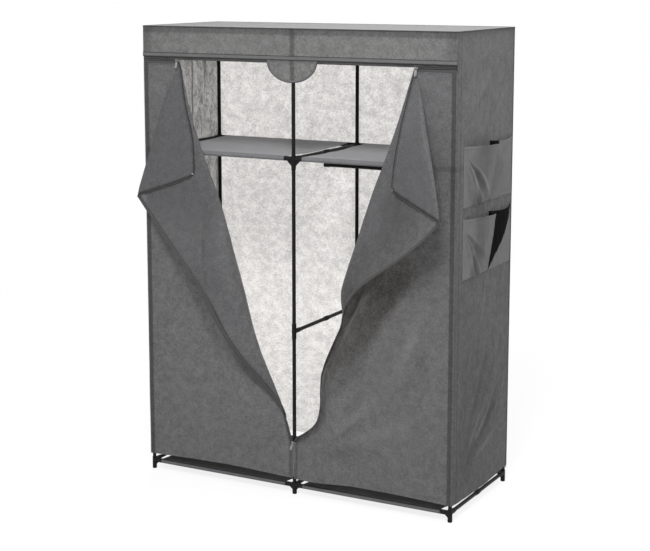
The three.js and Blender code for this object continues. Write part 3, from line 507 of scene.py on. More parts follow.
def wander(u, v, size, seed):
    """Smooth, repeatable unevenness of about one unit over features of the given size"""
    rng = np.random.RandomState(seed)
    total = np.zeros(np.broadcast(u, v).shape)
    for _ in range(WAVES):
        angle = rng.uniform(0, 2 * math.pi)
        pace = 2 * math.pi / (size * rng.uniform(0.7, 1.5))
        total = total + np.sin(
            (u * math.cos(angle) + v * math.sin(angle)) * pace + rng.uniform(0, PHASES))
    return total / math.sqrt(WAVES)


def creases(u, v, centre, low, high, count, seed):
    """Ripples that run out from one place, between two headings in degrees"""
    away = np.hypot(u - centre[0], v - centre[1])
    heading = np.degrees(np.arctan2(v - centre[1], u - centre[0]))
    within = ramp(heading, low, low + 8) * ramp(-heading, -high, 8 - high)
    wave = np.sin((heading - low) / (high - low) * count * 2 * math.pi
                  + 1.1 * wander(heading, away * 0.05, 25, seed))
    return within * wave * ramp(away, 0, 60)


def tube_along(name, line, radius, material, sides=10):
    """A round bead with closed ends that follows a line of points"""
    line = np.asarray(line, float)
    tangent = np.gradient(line, axis=0)
    tangent /= np.maximum(np.linalg.norm(tangent, axis=1, keepdims=True), 1e-9)
    first = np.cross(tangent[0], [0.0, 0.0, 1.0])
    if np.linalg.norm(first) < 0.1:
        first = np.cross(tangent[0], [0.0, 1.0, 0.0])
    normal = first / np.linalg.norm(first)
    turn = np.linspace(0, 2 * math.pi, sides, endpoint=False)[:, None]
    rings = []
    for point, direction in zip(line, tangent):
        normal = normal - direction * (normal @ direction)
        normal /= np.linalg.norm(normal)
        other = np.cross(direction, normal)
        rings.append(point + radius * (np.cos(turn) * normal + np.sin(turn) * other))
    uvs = np.stack([np.tile(np.arange(sides) / sides * 10, (len(line), 1)),
                    np.tile(run_lengths(line)[:, None], (1, sides))], -1)
    last = (len(line) - 1) * sides
    ends = [list(range(sides))[::-1], list(range(last, last + sides))]
    return make(name, np.array(rings).reshape(-1, 3), grid_faces(len(line), sides, True) + ends,
                [material], uvs.reshape(-1, 2))


def hem_at(share, level=HEM, lift=HEM_LIFT):
    return level + lift * np.sin(math.pi * share)


# Frame
def round_off(node, angle=40.0):
    """Smooth shading for a rigid node, with its real edges kept sharp"""
    mesh = node.data
    mesh.polygons.foreach_set("use_smooth", [True] * len(mesh.polygons))
    mesh.set_sharp_from_angle(angle=math.radians(angle))


FINISHES = ((("rail_bracket", "post_"), PLASTIC, 40.0), (("slider_", "pull_"), METAL, 30.0),
            (("rail_", "depth_tube", "hanging"), STEEL, 40.0))


def finish_rigid(name, node):
    for starts, material, angle in FINISHES:
        if name.startswith(starts):
            node.data.materials.clear()
            node.data.materials.append(material)
            round_off(node, angle)
            return


COLLAR_RADIUS, COLLAR_SIDES = 7.3, 24
COLLAR_STEPS = [-21.0, -20.0, -8.0, -7.0, 7.0, 8.0, 20.0, 21.0]
COLLAR_SWELLS = [0.9, 1.0, 1.0, 1.13, 1.13, 1.0, 1.0, 0.9]


def collar(tube):
    """The moulded collar at the middle of a depth tube, where its two halves meet"""
    low, high = (np.array(corner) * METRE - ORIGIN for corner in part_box(tube))
    line = (low + high) / 2 + np.array([0, 1.0, 0]) * np.array(COLLAR_STEPS)[:, None]
    piece = tube_along(f"{tube}_collar", line, COLLAR_RADIUS, PLASTIC, COLLAR_SIDES)
    points = np.array([v.co[:] for v in piece.data.vertices]).reshape(-1, COLLAR_SIDES, 3)
    centre = points.mean(1, keepdims=True)
    swell = np.array(COLLAR_SWELLS)[:, None, None]
    piece.data.vertices.foreach_set("co", (centre + (points - centre) * swell).ravel())
    round_off(piece)


# Cover
SIDE_OFFSET, INWARD_LIMIT = 0.4, 0.3
LOW_CREASES, TOP_CREASES = 9.0, 6.0
SIDE_CUTS = 2000


def side_panel(label, sign):
    down, across = shares(120, 60)
    y = FRONT + (BACK - FRONT) * across
    z = TOP + (hem_at(across, HEM, -SIDE_HEM_SAG) - TOP) * down
    pinned = np.sin(math.pi * across) ** 0.7
    push = pinned * (0.8 + 1.4 * ramp(-z, -TOP, -HEM)) * (
        wander(y, z * 0.35, 190, 3 + sign) + 0.35 * wander(y, z, 70, 8 + sign))
    push = push + LOW_CREASES * pinned * ramp(-z, -760, -460) * creases(
        y, z, (-10, HEM - 20), 25, 84, 6, 11 + sign)
    push = push + TOP_CREASES * pinned * ramp(z, 1250, 1450) * creases(
        y, z, (BACK + 5, TOP + 5), -165, -95, 4, 13 + sign)
    x = sign * (COVER_SIDE + SIDE_OFFSET + np.maximum(push, -INWARD_LIMIT))
    points = np.stack([x, y, z], -1)
    uvs = np.stack([y + SIDE_CUTS * sign, z], -1)
    if sign < 0:
        points, uvs = points[:, ::-1], uvs[:, ::-1]
    panel = sheet(f"{label}_side_cloth", points, uvs, SIDES[label], thickness=0)
    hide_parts(f"{label}_side_panel")


def back_panel():
    down, across = shares(120, 140)
    x = COVER_EDGE * (2 * across - 1)
    z = TOP + (hem_at((across * 2) % 1, BACK_HEM) - TOP) * down
    pinned = np.abs(np.sin(2 * math.pi * across)) ** 0.7
    push = pinned * (0.8 + 1.2 * down) * (
        wander(x, z * 0.3, 260, 21) + 0.3 * wander(x, z, 90, 22))
    points = np.stack([x, BACK + np.abs(push), z], -1)
    panel = sheet("back_cloth", points[:, ::-1], np.stack([x, z], -1)[:, ::-1], BACK_CLOTH,
                  thickness=0)
    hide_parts("back_panel")


ROOF_SAG = 5.0
PIPING_RADIUS, PIPING_INSET, PIPING_DROP = 2.2, 0.6, 1.9


def roof_piping():
    rim = []
    corners = [(-1, 0), (1, 0), (1, 1), (-1, 1), (-1, 0)]
    share = np.linspace(0, 1, 60)[:-1]
    for (x0, y0), (x1, y1) in zip(corners, corners[1:]):
        rim.append(np.stack([(COVER_EDGE - PIPING_INSET) * (x0 + (x1 - x0) * share),
                             FRONT + (BACK - FRONT) * (y0 + (y1 - y0) * share),
                             HEIGHT - PIPING_DROP + 0 * share], -1))
    piping = tube_along(
        "roof_piping", np.concatenate(rim + [rim[0][:1]]), PIPING_RADIUS, PIPING, 8)
    return piping


def roof_panel():
    back, across = shares(50, 120)
    x = COVER_EDGE * (2 * across - 1)
    y = BACK + CLOTH / 2 + (FRONT - BACK - CLOTH) * back
    sag = ROOF_SAG * np.abs(np.sin(2 * math.pi * across)) * np.sin(math.pi * back)
    points = np.stack([x, y, HEIGHT - CLOTH / 2 - sag], -1)
    panel = sheet("roof_cloth", points, np.stack([x, y], -1), ROOF_CLOTH, thickness=0)
    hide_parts("roof_panel")
    piping = roof_piping()


VALANCE_PUSH, VALANCE_PULL, PULL_AT, PULL_REACH = 5.0, 2.0, 500, 260
STRIP_THICKNESS, STRIP_RISE, STRIP_SWELL = 0.9, 0.9, 0.5


def valance_at(x, z):
    """How far forward the valance hangs"""
    loose = ramp(-z, -TOP, -VALANCE_HEM)
    push = loose * np.abs(0.9 * wander(x, z * 2, 240, 31) + 0.3 * wander(x, z, 60, 32))
    for side in (-1, 1):
        near = np.clip(1 - np.abs(x - side * PULL_AT) / PULL_REACH, 0, 1)
        push = push + VALANCE_PULL * loose * near * (
            1 + creases(-side * x, z, (-COVER_EDGE, TOP + 20), -70, -8, 4, 35 + side))
    return FRONT - np.minimum(push, VALANCE_PUSH)


def strip(name, line, inward, width):
    """A binding on the valance's face, from a line on its edge inwards"""
    share = np.linspace(0, 1, 5)
    points = np.array([line + inward * width * part for part in share])
    rise = STRIP_RISE + STRIP_SWELL * np.sin(math.pi * share)[:, None]
    points[..., 1] = valance_at(points[..., 0], points[..., 2]) - rise
    uvs = np.stack(np.meshgrid(width * share, run_lengths(line), indexing="ij"), -1)
    piece = sheet(name, points[::-1], uvs[::-1], BINDING, thickness=STRIP_THICKNESS)
    return piece


def valance():
    inside = TAB_HALF * np.sin(np.linspace(-math.pi / 2, math.pi / 2, 41))
    outside = np.linspace(-COVER_EDGE, -TAB_HALF - 1, 60)
    x = np.r_[outside, inside, -outside[::-1]]
    drop = TAB_DROP * np.sqrt(np.clip(1 - (x / TAB_HALF) ** 2, 0, 1))
    z = TOP + (VALANCE_HEM - drop - TOP) * np.linspace(0, 1, 40)[:, None]
    x = np.broadcast_to(x, z.shape)
    points = np.stack([x, valance_at(x, z), z], -1)
    front = sheet("valance_cloth", points, np.stack([x, z], -1), VALANCE_CLOTH, thickness=0)
    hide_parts("front_valance")

    x = np.linspace(-COVER_EDGE, COVER_EDGE, 160)
    line = np.stack([x, 0 * x, VALANCE_HEM + 0.2 + 0 * x], -1)
    turn = np.linspace(math.pi, 2 * math.pi, 61)
    round_tab = np.stack(
        [TAB_HALF * np.cos(turn), 0 * turn, VALANCE_HEM + TAB_DROP * np.sin(turn)], -1)
    inward = -np.stack([np.cos(turn), 0 * turn, np.sin(turn)], -1)
    bindings = [strip("valance_band", line, np.array([0.0, 0, 1.0]), BAND),
                strip("valance_tab_binding", round_tab, inward, TAB_BINDING)]


# Folded doors. A place on a door's flat cut is a distance from its top slider and an angle
# from straight down, and its folds lie at angles that change with the distance.
KNOTS = np.array([0, 0.15, 0.35, 0.55, 0.75, 0.9, 1.0])
START, FIRST_KNOT, TIP, LEAST_RADIUS = 2.0, 15.0, 60.0, 0.8
REACH = APEX - EDGE
FIRST = math.atan2(REACH, ZIP - JOIN)
JOIN_DISTANCE = math.hypot(REACH, ZIP - JOIN)
QUARTER = math.pi / 2

# What each curve's shares are shares of, in millimetres and radians: how far the first fold
# strays, the radii of the first and the second fold, how far the cloth between them opens,
# where the second fold lies, how the last layer leans, and the loose cloth before the first
FULL = {"stray": 40.0, "edge": 50.0, "back": 13.0, "opening": math.radians(40),
        "second": math.radians(60), "lean": math.radians(6.6), "loose": 110.0}
LOOSE_FROM, LOOSE_RISE = 0.45, 60.5
CORNER_TUCK = 0.1

# The right door's first fold sways, and its folds are gathered towards the join
SWAY_SHARES = (0.56, 0.64, 0.80, 0.85, 0.88, 0.93, 0.96, 0.985, 1)
SWAYS = (0, 9, 12, 0, -10, -20, -12, 0, 0)
GATHER_SHARES, GATHERED = (0.55, 0.67), 0.86
DOORS = {
    "left": {
        "stray": [0, -0.34, -0.03, 0.38, -0.05, 0.09, 0],
        "edge": [0, 0.15, 0.14, 1.06, 0.62, 0.02, 0],
        "back": [0, 0.15, 0.15, 0.62, 0.38, 0.15, 0],
        "opening": [0, -0.01, -0.04, -0.07, 0.96, 0.74, 0],
        "second": [0.9, 0.91, 0.99, 1, 1, 1, 1],
        "lean": [0, 0, 0, 0, 0, 0, 0],
        "loose": [0, 0, 0, 0, 0.19, 0.27, 0]},
    "right": {
        "stray": [0, -0.08, 0.155, -0.35, -0.27, -1.05, 0],
        "edge": [0, 0.022, 0.02, 0.9, 0.55, 0.024, 0],
        "back": [0, 1, 0.2, 0.62, 0.38, 0.15, 0],
        "opening": [0, 0.45, 0.54, 0.705, 1, 0.46, 0],
        "second": [0.963, 1.012, 1.012, 1, 1, 1, 1],
        "lean": [0, 1, 0, 0.24, 0, 0, 0],
        "loose": [0, 0, 0, 1, 0.9, 0.67, 0.03]},
}


def through(values):
    """A smooth curve through values at the knots that never overshoots them"""
    x, y = KNOTS, np.asarray(values, float)
    h, m = np.diff(x), np.diff(y) / np.diff(x)
    slope = np.zeros(len(x))
    for i in range(1, len(x) - 1):
        if m[i - 1] * m[i] > 0:
            w1, w2 = 2 * h[i] + h[i - 1], h[i] + 2 * h[i - 1]
            slope[i] = (w1 + w2) / (w1 / m[i - 1] + w2 / m[i])
    slope[0], slope[-1] = m[0], m[-1]

    def at(share):
        s = np.clip(share, 0, 1)
        i = np.clip(np.searchsorted(x, s, side="right") - 1, 0, len(x) - 2)
        t = (s - x[i]) / h[i]
        return ((2 * t**3 - 3 * t**2 + 1) * y[i] + (t**3 - 2 * t**2 + t) * h[i] * slope[i]
                + (3 * t**2 - 2 * t**3) * y[i + 1] + (t**3 - t**2) * h[i] * slope[i + 1])

    return at


def fixed(angle):
    return lambda d: 0 * d + angle


def part_way(start, end, share):
    """A fan line that keeps a share of the way between two others"""
    return lambda d: start(d) + (end(d) - start(d)) * share


class Door:
    """Places on the flat cut of one door, and where the folded cloth takes them"""

    def __init__(self, sign, **curves):
        self.sign = sign
        self.curves = [through(np.multiply(curves[name], full)) for name, full in FULL.items()]

    def folds(self, d):
        """The folds at a distance: loose cloth from begin to a0, a turn from a0 to a1 and
        another from b0 to b1"""
        share = (d - FIRST_KNOT) / (JOIN_DISTANCE - FIRST_KNOT)
        stray, r, rb, opening, second, lean, loose = (curve(share) for curve in self.curves)
        if self.sign > 0:
            stray = stray + np.interp(share, SWAY_SHARES, SWAYS)
        tip = np.clip(d / TIP, 0.05, 1)
        r, rb = np.maximum(r, LEAST_RADIUS) * tip, np.maximum(rb, LEAST_RADIUS) * tip
        begin = d * FIRST + stray * tip - r
        a0 = (begin + loose) / d
        leaving, turn = math.pi - opening, math.pi - lean
        half = rb * turn / d / 2
        return SimpleNamespace(
            begin=begin, loose=loose, a0=a0, a1=a0 + r * leaving / d, r=r, leaving=leaving,
            second=second, b0=second - half, b1=second + half, rb=rb, turn=turn,
            heading=lean - opening)

    def point(self, d, angle):
        """The folded place of a point: first how far across and out its layers take it"""
        f = self.folds(d)
        share = np.clip(angle / f.a0, 0, 1)
        across = np.where(angle < 0, d * angle, f.begin * share)
        crest = ramp(share, LOOSE_FROM, 1)
        out = np.sqrt(np.maximum(f.loose, 0) * LOOSE_RISE) * np.sin(math.pi * crest) ** 2
        t = np.clip((angle - f.a0) * d / f.r, 0, f.leaving)
        across = across + np.where(angle > f.a0, f.r * np.sin(t), 0)
        out = out + np.where(angle > f.a0, f.r * (1 - np.cos(t)), 0)
        run = np.maximum(0, (np.minimum(angle, f.b0) - f.a1) * d)
        across, out = across + run * np.cos(f.leaving), out + run * np.sin(f.leaving)
        t = np.clip((angle - f.b0) * d / f.rb, 0, f.turn)
        across = across + f.rb * (np.sin(f.leaving) - np.sin(f.leaving - t))
        out = out + f.rb * (np.cos(f.leaving - t) - np.cos(f.leaving))
        run = np.maximum(0, (angle - f.b1) * d)
        across, out = across + run * np.cos(f.heading), out + run * np.sin(f.heading)
        if self.sign > 0:
            closing = ramp(d / JOIN_DISTANCE, *GATHER_SHARES)
            kept = 1 - GATHERED * closing ** 2 * (3 - 2 * closing)
            across = np.where(angle > f.a0, f.begin + (across - f.begin) * kept, across)
            out = np.where(angle > f.a0, out * kept, out)
        swing, lift = across / d, out / d
        d = d * (1 - CORNER_TUCK * ramp(angle, f.second, QUARTER))
        return np.stack([
            self.sign * (APEX - d * np.cos(lift) * np.sin(swing)),
            FRONT - d * np.sin(lift),
            ZIP - d * np.cos(lift) * np.cos(swing)], -1)

    def flat(self, x, z):
        """The folded place of a point of the flat cut, x from the middle, z from the floor"""
        x, z = np.asarray(x, float), np.asarray(z, float)
        d = np.maximum(np.hypot(APEX - x, ZIP - z), START)
        return self.point(d, np.arctan2(APEX - x, ZIP - z))

    def place(self, name, past=0.0):
        return lambda d: getattr(self.folds(d), name) + past

    def lines(self, flats, edges, middles, backs, near=6, after=14):
        """Fan lines: each follows one place of the folds, as an angle for every distance.
        Those of the first fold and just after it are held in beside the zip, and their ends
        lie on a ramp, so that neighbours stay alike."""
        corner, bend = math.atan2(REACH, ZIP - HEM), math.atan2(REACH, CORNER)
        a0, a1, b0, b1 = (self.place(name) for name in ("a0", "a1", "b0", "b1"))
        beside, beyond = self.place("a1", 0.004), self.place("a1", 0.06)
        low = lambda d: np.minimum(corner, a0(d) * 0.98)
        ranks, short = edges + near + after, self.length(beyond)

        def held(angle, rank):
            share = max(0, rank - edges + 1) / (near + after + 1)
            end = max(self.length(angle), JOIN_DISTANCE - (JOIN_DISTANCE - short) * share)

            def at(d):
                zipped = np.arcsin(REACH / np.maximum(d, REACH)) - 0.0002 * (ranks + 1 - rank)
                inside = np.where(d > REACH, np.minimum(angle(d), zipped), angle(d))
                return np.where(d > end, 1.5, inside)
            return at

        def leg(start, end, count):
            return [part_way(start, end, k / count) for k in range(count)]

        fold = leg(a0, a1, edges) + leg(a1, beside, near) + leg(beside, beyond, after)
        return (leg(fixed(0), low, flats) + leg(low, a0, near)
                + [held(angle, rank) for rank, angle in enumerate(fold)]
                + leg(beyond, b0, middles) + leg(b0, b1, backs) + leg(b1, fixed(bend), middles)
                + leg(fixed(bend), fixed(QUARTER), after) + [fixed(QUARTER)])

    def length(self, angle_at):
        """How far a fan line runs before it meets the hem, the zip or the rounded corner"""
        near, far = START, JOIN_DISTANCE * 2
        for _ in range(40):
            middle = (near + far) / 2
            angle = float(angle_at(np.array(middle)))
            aside, below = middle * math.sin(angle) - REACH, middle * math.cos(angle)
            corner = math.hypot(max(0, aside + CORNER), max(0, CORNER - below)) - CORNER
            over = max(aside, below - (ZIP - HEM), corner)
            near, far = (near, middle) if over > 0 else (middle, far)
        return near


LIFT_HEIGHT, JOIN_PULL, JOIN_REACH = 60, 4.0, 620
DOOR_INWARD_LIMIT = 0.4
CLOSED_HALF, CLOSED_FADE, CLOSED_ABOVE, CLOSED_DROP = 16, 50, 20, 30


def door_grid(door, rows=150):
    """Folded places and flat cut of one door, line by line from its outer edge"""
    share = np.linspace(0, 1, rows + 1)
    lines, cuts = [], []
    for x in np.linspace(COVER_EDGE, APEX, 25)[:-1]:
        z = DOOR_TOP - GAP + (HEM - DOOR_TOP + GAP) * share
        lines.append(np.stack([door.sign * x + 0 * z, FRONT + 0 * z, z], -1))
        cuts.append(np.stack([x + 0 * z, z], -1))
    for angle_at in door.lines(26, 16, 18, 12):
        d = START + (door.length(angle_at) - START) * share
        angle = angle_at(d)
        lines.append(door.point(d, angle))
        cuts.append(np.stack([APEX - d * np.sin(angle), ZIP - d * np.cos(angle)], -1))
    points, cuts = np.array(lines), np.array(cuts)
    hem_zone = HEM_LIFT + LIFT_HEIGHT
    lift = (hem_at(np.clip(cuts[..., 0] / SIDE, 0, 1)) - HEM) * (1 - (cuts[..., 1] - HEM) / hem_zone)
    points[..., 2] += np.where(cuts[..., 1] < HEM + hem_zone, lift, 0)
    points, cuts = np.swapaxes(points, 0, 1), np.swapaxes(cuts, 0, 1)
    return (points[:, ::-1], cuts[:, ::-1]) if door.sign > 0 else (points, cuts)


def door_push(x, z, sign):
    """How far the cloth of a door stands off its smooth surface, by its flat cut"""
    calm = np.clip(np.hypot(APEX - x, ZIP - z) / 300, 0.05, 1) * ramp(-x, -COVER_EDGE, 60 - COVER_EDGE)
    calm = calm * np.clip((z - HEM) / 40, 0.4, 1)
    push = calm * (0.9 * wander(x, z * 0.4, 260, 41 + sign) + 0.35 * wander(x, z, 90, 43 + sign))
    pull = np.clip(1 - np.hypot(x, z - JOIN) / JOIN_REACH, 0, 1)
    push = np.maximum(push, -DOOR_INWARD_LIMIT)
    push = push + JOIN_PULL * pull ** 0.6 * (
        1 + creases(x, z, (EDGE, JOIN), -30, 66, 3, 45 + sign))
    closed = np.clip((JOIN + CLOSED_ABOVE - z) / CLOSED_DROP, 0, 1)
    return push * (1 - closed * (1 - ramp(x, CLOSED_HALF, CLOSED_HALF + CLOSED_FADE)))


DOOR_TAPE, DOOR_TAPE_OVER, DOOR_TAPE_THICKNESS = 12.5, 0.6, 0.5
DOOR_COIL_OVER, DOOR_COIL_RADIUS, STOP_RADIUS = 1.6, 2.0, 2.6
STOP_SPOTS = (4, 6, 9, 11)


def door_zip(label, door):
    """The tape, coil and metal stop on the open edge of a door"""
    z = np.r_[np.linspace(JOIN + 4, 700, 130), np.linspace(703, ZIP - CORNER, 260)]
    x = np.linspace(EDGE - DOOR_TAPE_OVER, DOOR_TAPE, 5)
    grid = door.flat(x[None, :], z[:, None])
    grid = grid + normals(grid) * door.sign
    uvs = np.stack(np.meshgrid(z, x, indexing="ij")[::-1], -1)
    extras = [
        sheet(f"{label}_door_tape", grid, uvs, TAPE, thickness=DOOR_TAPE_THICKNESS),
        tube_along(f"{label}_door_coil", door.flat(EDGE - DOOR_COIL_OVER, z), DOOR_COIL_RADIUS,
                   COIL, 8)]
    spots = np.array(STOP_SPOTS)
    stop = tube_along(f"{label}_door_zip_stop", door.flat(EDGE + spots, ZIP - spots - STOP_SPOTS[0]),
                      STOP_RADIUS, METAL)
    return extras


def make_door(label, door):
    points, cuts = door_grid(door)
    push = door_push(cuts[..., 0], cuts[..., 1], door.sign)
    points = points + normals(points) * push[..., None]
    panel = sheet(f"{label}_door_cloth", points, cuts, DOOR_CLOTHS[label], thickness=0)
    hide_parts(f"{label}_door")
    extras = door_zip(label, door)


# Zips
TAPE_Y, TAPE_THICKNESS, TAPE_INSET = FRONT + 1.3, 0.6, 1.5
TEETH_GAP, CENTRE_TAPE = 1.5, 19
TOP_COIL_RADIUS, TOP_COIL_OUT = 1.7, 0.2
CENTRE_COIL_RADIUS, CENTRE_COIL_IN = 1.5, 1.0
SIGNS = (("left", -1), ("right", 1))


def tape(name, ends, low, high, material, columns=40, rows=4):
    x, z = np.meshgrid(np.linspace(*ends, columns), np.linspace(high, low, rows))
    points = np.stack([x, np.full(x.shape, TAPE_Y), z], -1)
    return sheet(name, points, np.stack([x, z], -1), material, thickness=TAPE_THICKNESS)


def zips():
    """The top zip's tape above the doors, and the closed centre zip below them"""
    half = COVER_EDGE - TAPE_INSET
    top = tape("top_zip_cloth", (-half, half), ZIP + TEETH_GAP, VALANCE_HEM + 8, TAPE, 160)
    pieces, centre = [], []
    for label, sign in SIGNS:
        ends = sorted((sign * half, sign * APEX))
        pieces.append(
            tape(f"top_zip_lower_{label}", ends, DOOR_TOP - 8, ZIP - TEETH_GAP, TAPE))
        x = np.linspace(*ends, 60)
        line = np.stack([x, 0 * x + FRONT - TOP_COIL_OUT, 0 * x + ZIP], -1)
        pieces.append(tube_along(f"top_zip_coil_{label}", line, TOP_COIL_RADIUS, COIL))
    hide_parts("top_zip_tape")
    for label, sign in SIGNS:
        ends = sorted((sign * TEETH_GAP, sign * CENTRE_TAPE))
        centre.append(
            tape(f"centre_zip_tape_{label}", ends, HEM + 5, JOIN - 2, PALE_TAPE, 8, 30))
    z = np.linspace(HEM + 5, JOIN - 8, 60)
    line = np.stack([0 * z, 0 * z + FRONT + CENTRE_COIL_IN, z], -1)
    centre.append(tube_along("centre_zip_coil", line, CENTRE_COIL_RADIUS, PALE_TAPE))
    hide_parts("centre_zip_tape")


# Pockets
POCKET_FRONT, POCKET_SEAM, POCKET_BACK, POCKET_HEIGHT = 48.0, 266.0, 458.0, 200.0
REAR_BULGE, MOUTH_DIP, POCKET_CREASE, POCKET_WAVE = 10.0, 8, 9.0, 2.0
FRONT_RIDGE, REAR_RIDGE = 0.9, 0.5


def pocket_row(label, level, seed, bulge, shadow_share):
    """Two pockets that gape: each front bulges to a ridge near its rear, then folds back"""
    down = np.linspace(0, 1, 60)[:, None]
    across = np.r_[np.linspace(0, 0.5, 61), np.linspace(0.5, 1, 61)[1:]][None, :]
    first = across <= 0.5
    local = np.where(first, across * 2, across * 2 - 1)
    fill = np.clip(1 - down, 0, 1) ** 0.7 + 0 * across
    ridge = np.where(first, FRONT_RIDGE + 0 * down, REAR_RIDGE + 0 * down)
    before, after = np.clip(local / ridge, 0, 1), ramp(local, ridge, 1)
    belly = np.where(local < ridge, np.sin(before * QUARTER) ** 1.1, np.cos(after * QUARTER))
    start = np.where(first, POCKET_FRONT, POCKET_SEAM)
    width = np.where(first, POCKET_SEAM - POCKET_FRONT, POCKET_BACK - POCKET_SEAM)
    back = 0.1 * belly * fill
    y = start + width * np.where(local < ridge, ridge * before ** 1.05 + back * before,
                                 1 - (1 - ridge) * (1 - after) + back)
    dip = MOUTH_DIP * belly
    z = level + POCKET_HEIGHT - dip + (dip - POCKET_HEIGHT) * down
    crease = creases(
        y, -z, (POCKET_FRONT + 6, 30 - level - POCKET_HEIGHT), 30, 86, 3.5, seed)
    swell = np.abs(np.sin(math.pi * before) * (1 - 0.4 * down))
    out = np.where(first, bulge, REAR_BULGE) * belly * fill
    out = out + swell * (POCKET_CREASE * crease + POCKET_WAVE * wander(y, z, 80, seed + 1)) * first
    out = out + belly * fill * 0.8 * wander(y, z, 40, seed + 2)
    points = np.stack([COVER_SIDE + CLOTH + GAP + np.maximum(out, 0.2 * belly), y, z], -1)
    seam = (POCKET_SEAM - POCKET_FRONT) / (POCKET_BACK - POCKET_FRONT)
    flat = np.where(first, seam * local, seam + (1 - seam) * local) + 0 * z
    uvs = np.stack([POCKET_FRONT + (POCKET_BACK - POCKET_FRONT) * flat, z - level], -1)
    row = sheet(f"pocket_row_{label}_cloth", points, uvs, POCKET_CLOTH, POCKET_SHADOW)
    # Painted shadow: near black on the front pocket's fold back to the seam, and on the rear pocket
    # from the seam over the given share
    in_painted_shadow = np.where(first, local > ridge + 0.05, local < shadow_share * fill ** 1.2)
    dark = (in_painted_shadow[:-1, :-1] & in_painted_shadow[1:, 1:]).ravel()
    row.data.polygons.foreach_set("material_index", dark.astype(np.int32))
    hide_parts(f"pocket_row_{label}")


# Shelves
SHELF_INSET, SHELF_SPREAD, SPREAD_FROM, SPREAD_RUN = 34.3, 3.0, 44, 4
SLEEVE_FROM, SLEEVE_TO = 60, -270
SLEEVE_RADIUS = TUBE + GAP + CLOTH / 2


def shelf(label, level, start, sag, seed):
    """Cloth sewn in a sleeve round the front and the back rail"""
    ends = (start + SHELF_INSET, start + SIDE - SHELF_INSET)
    turn = np.radians(np.linspace(SLEEVE_FROM, SLEEVE_TO, 34))
    front = np.stack([SLEEVE_RADIUS * np.cos(turn), SLEEVE_RADIUS * np.sin(turn)], -1)
    y = np.linspace(0, DEPTH, 60)[1:-1]
    flat = np.stack([y, SLEEVE_RADIUS - sag * np.sin(math.pi * y / DEPTH)], -1)
    back = np.stack([DEPTH - front[::-1, 0], front[::-1, 1]], -1)
    profile = np.concatenate([front, flat, back])
    y, rise, lengths = profile[:, :1], profile[:, 1:], run_lengths(profile)
    from_rail = np.minimum(y, DEPTH - y)
    x = np.linspace(*ends, 60)
    spread = SHELF_SPREAD * ramp(from_rail, SPREAD_FROM, SPREAD_FROM + SPREAD_RUN)
    uneven = ramp(from_rail, 0, 60) * 0.8 * wander(x[None, :], y, 120, seed)
    grid = np.stack(np.broadcast_arrays(
        x + spread * (2 * np.linspace(0, 1, 60) - 1), y, level + rise + uneven), -1)
    uvs = np.stack(np.broadcast_arrays(x[None, :], lengths[:, None]), -1)
    upper, side = label.startswith("upper"), label.split("_")[1]
    piece = sheet(f"shelf_{label}_cloth", grid, uvs, SHELF_CLOTH if upper else BASE_CLOTH)
    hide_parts(f"shelf_{label}")


# Camera, lights and stage. The camera's place is in the part's millimetres, its focal length
# and its middle row in the photograph's pixels; lights are in metres and watts.
PHOTO_WIDTH, PHOTO_MIDDLE, SENSOR = 650, 275.5, 36.0
FOCAL, YAW, PITCH, MIDDLE_ROW = 1511.7, -0.4946, 0.1602, 217.0
CAMERA_PLACE = (2473.5, -4365.1, 1780.4)
LIGHTS = (("key", (1.2, -3.1, 4.0), (0, 0, 0.8), 1.1, 195),
          ("left", (-3.4, -1.8, 2.4), (0, 0, 1.0), 2.4, 12),
          ("right", (2.2, -0.4, 2.9), (0.6, 0.2, 1.5), 1.0, 24),
          ("behind", (-1.4, 3.6, 2.4), (0, 0, 0.9), 2.6, 85))
WHITE, STUDIO_LIGHT = (1.0, 1.0, 1.0, 1.0), 0.46
FLOOR_HALF, FLOOR_DROP = 40, 0.0004


def add_to_scene(name, data):
    obj = bpy.data.objects.new(name, data)
    bpy.context.scene.collection.objects.link(obj)
    return obj


def aim(obj, place, heading):
    obj.location = Vector(place)
    obj.rotation_mode = "QUATERNION"
    obj.rotation_quaternion = Vector(heading).to_track_quat("-Z", "Y")


def camera():
    data = bpy.data.cameras.new("camera")
    data.sensor_width = SENSOR
    data.lens = FOCAL / PHOTO_WIDTH * SENSOR
    data.shift_y = (MIDDLE_ROW - PHOTO_MIDDLE) / PHOTO_WIDTH
    data.clip_start, data.clip_end = 0.05, 90.0
    obj = add_to_scene("camera", data)
    aim(obj, metres(CAMERA_PLACE), (math.sin(YAW) * math.cos(PITCH),
                                    math.cos(YAW) * math.cos(PITCH), -math.sin(PITCH)))
    bpy.context.scene.camera = obj


def area_light(name, place, target, size, power):
    data = bpy.data.lights.new(name, "AREA")
    data.shape, data.size, data.energy = "SQUARE", size, power
    aim(add_to_scene(name, data), place, Vector(target) - Vector(place))


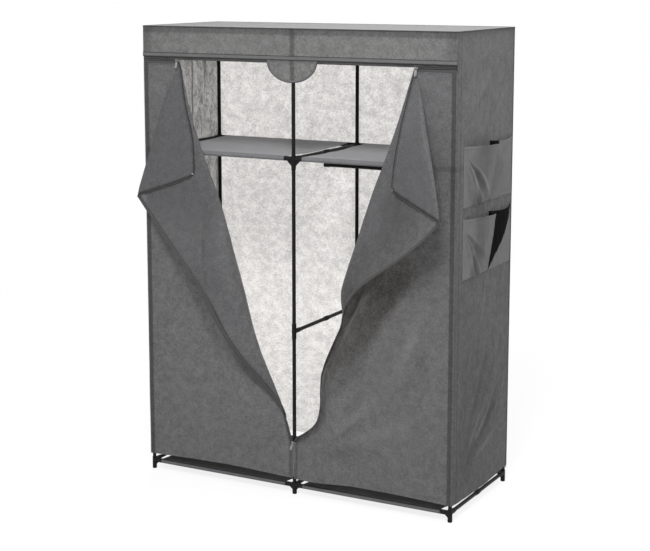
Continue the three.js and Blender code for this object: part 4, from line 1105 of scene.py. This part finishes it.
def studio():
    """Even light all round, which reflections and the camera see as white"""
    world = bpy.data.worlds.new("studio")
    bpy.context.scene.world = world
    n = Nodes(world, "OutputWorld")
    ray = n.add("LightPath").outputs
    shiny = n.math("ADD", ray["Is Glossy Ray"], ray["Is Transmission Ray"], clamp=True)
    seen = n.math("ADD", ray["Is Camera Ray"], shiny, clamp=True)
    n.finish(n.join(seen, n.add("Background", Color=WHITE, Strength=STUDIO_LIGHT),
                    n.add("Background", Color=WHITE, Strength=1.0)))


def floor():
    """A matte floor that fades to white away from the object"""
    n = Nodes(bpy.data.materials.new("floor"))
    place = n.add("TexCoord").outputs["Object"]
    speck = n.between(n.noise(place, 3.0, 2.0, 0.5), 0.3, 0.7)
    matte = n.add("BsdfDiffuse", Color=n.blend(speck, grey(244), grey(248)))
    glow = n.add("Emission", Color=WHITE, Strength=1.0)
    away = n.add("VectorMath", {"operation": "LENGTH"}, Vector=place).outputs["Value"]
    seen = n.add("LightPath").outputs["Is Camera Ray"]
    mesh = bpy.data.meshes.new("floor")
    corners = [(x * FLOOR_HALF, y * FLOOR_HALF, 0) for x, y in ((-1, -1), (1, -1), (1, 1), (-1, 1))]
    mesh.from_pydata(corners, [], [(0, 1, 2, 3)])
    mesh.materials.append(
        n.finish(n.join(n.times(seen, n.between(away, 1.4, 5.0, 0.84, 1.0)), matte, glow)))
    obj = add_to_scene("floor", mesh)
    obj.location.z = -FLOOR_DROP


for name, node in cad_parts.items():
    finish_rigid(name, node)
for name in [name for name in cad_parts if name.startswith("depth_tube")]:
    collar(name)
for label, sign in SIGNS:
    side_panel(label, sign)
back_panel()
roof_panel()
valance()
for label, sign in SIGNS:
    make_door(label, Door(sign, **DOORS[label]))
zips()
pocket_row("upper", 1034.0, 51, 36.0, 0.3)
pocket_row("lower", 798.0, 61, 25.0, 1.0)
shelf("upper_left", SHELF, -SIDE, 6.0, 71)
shelf("upper_right", SHELF, 0.0, 6.0, 73)
shelf("base_left", BASE, -SIDE, 16.0, 75)
shelf("base_right", BASE, 0.0, 16.0, 77)
camera()
for light in LIGHTS:
    area_light(*light)
studio()
floor()
bpy.context.scene.view_settings.view_transform = "Standard"

bpy.context.view_layer.update()
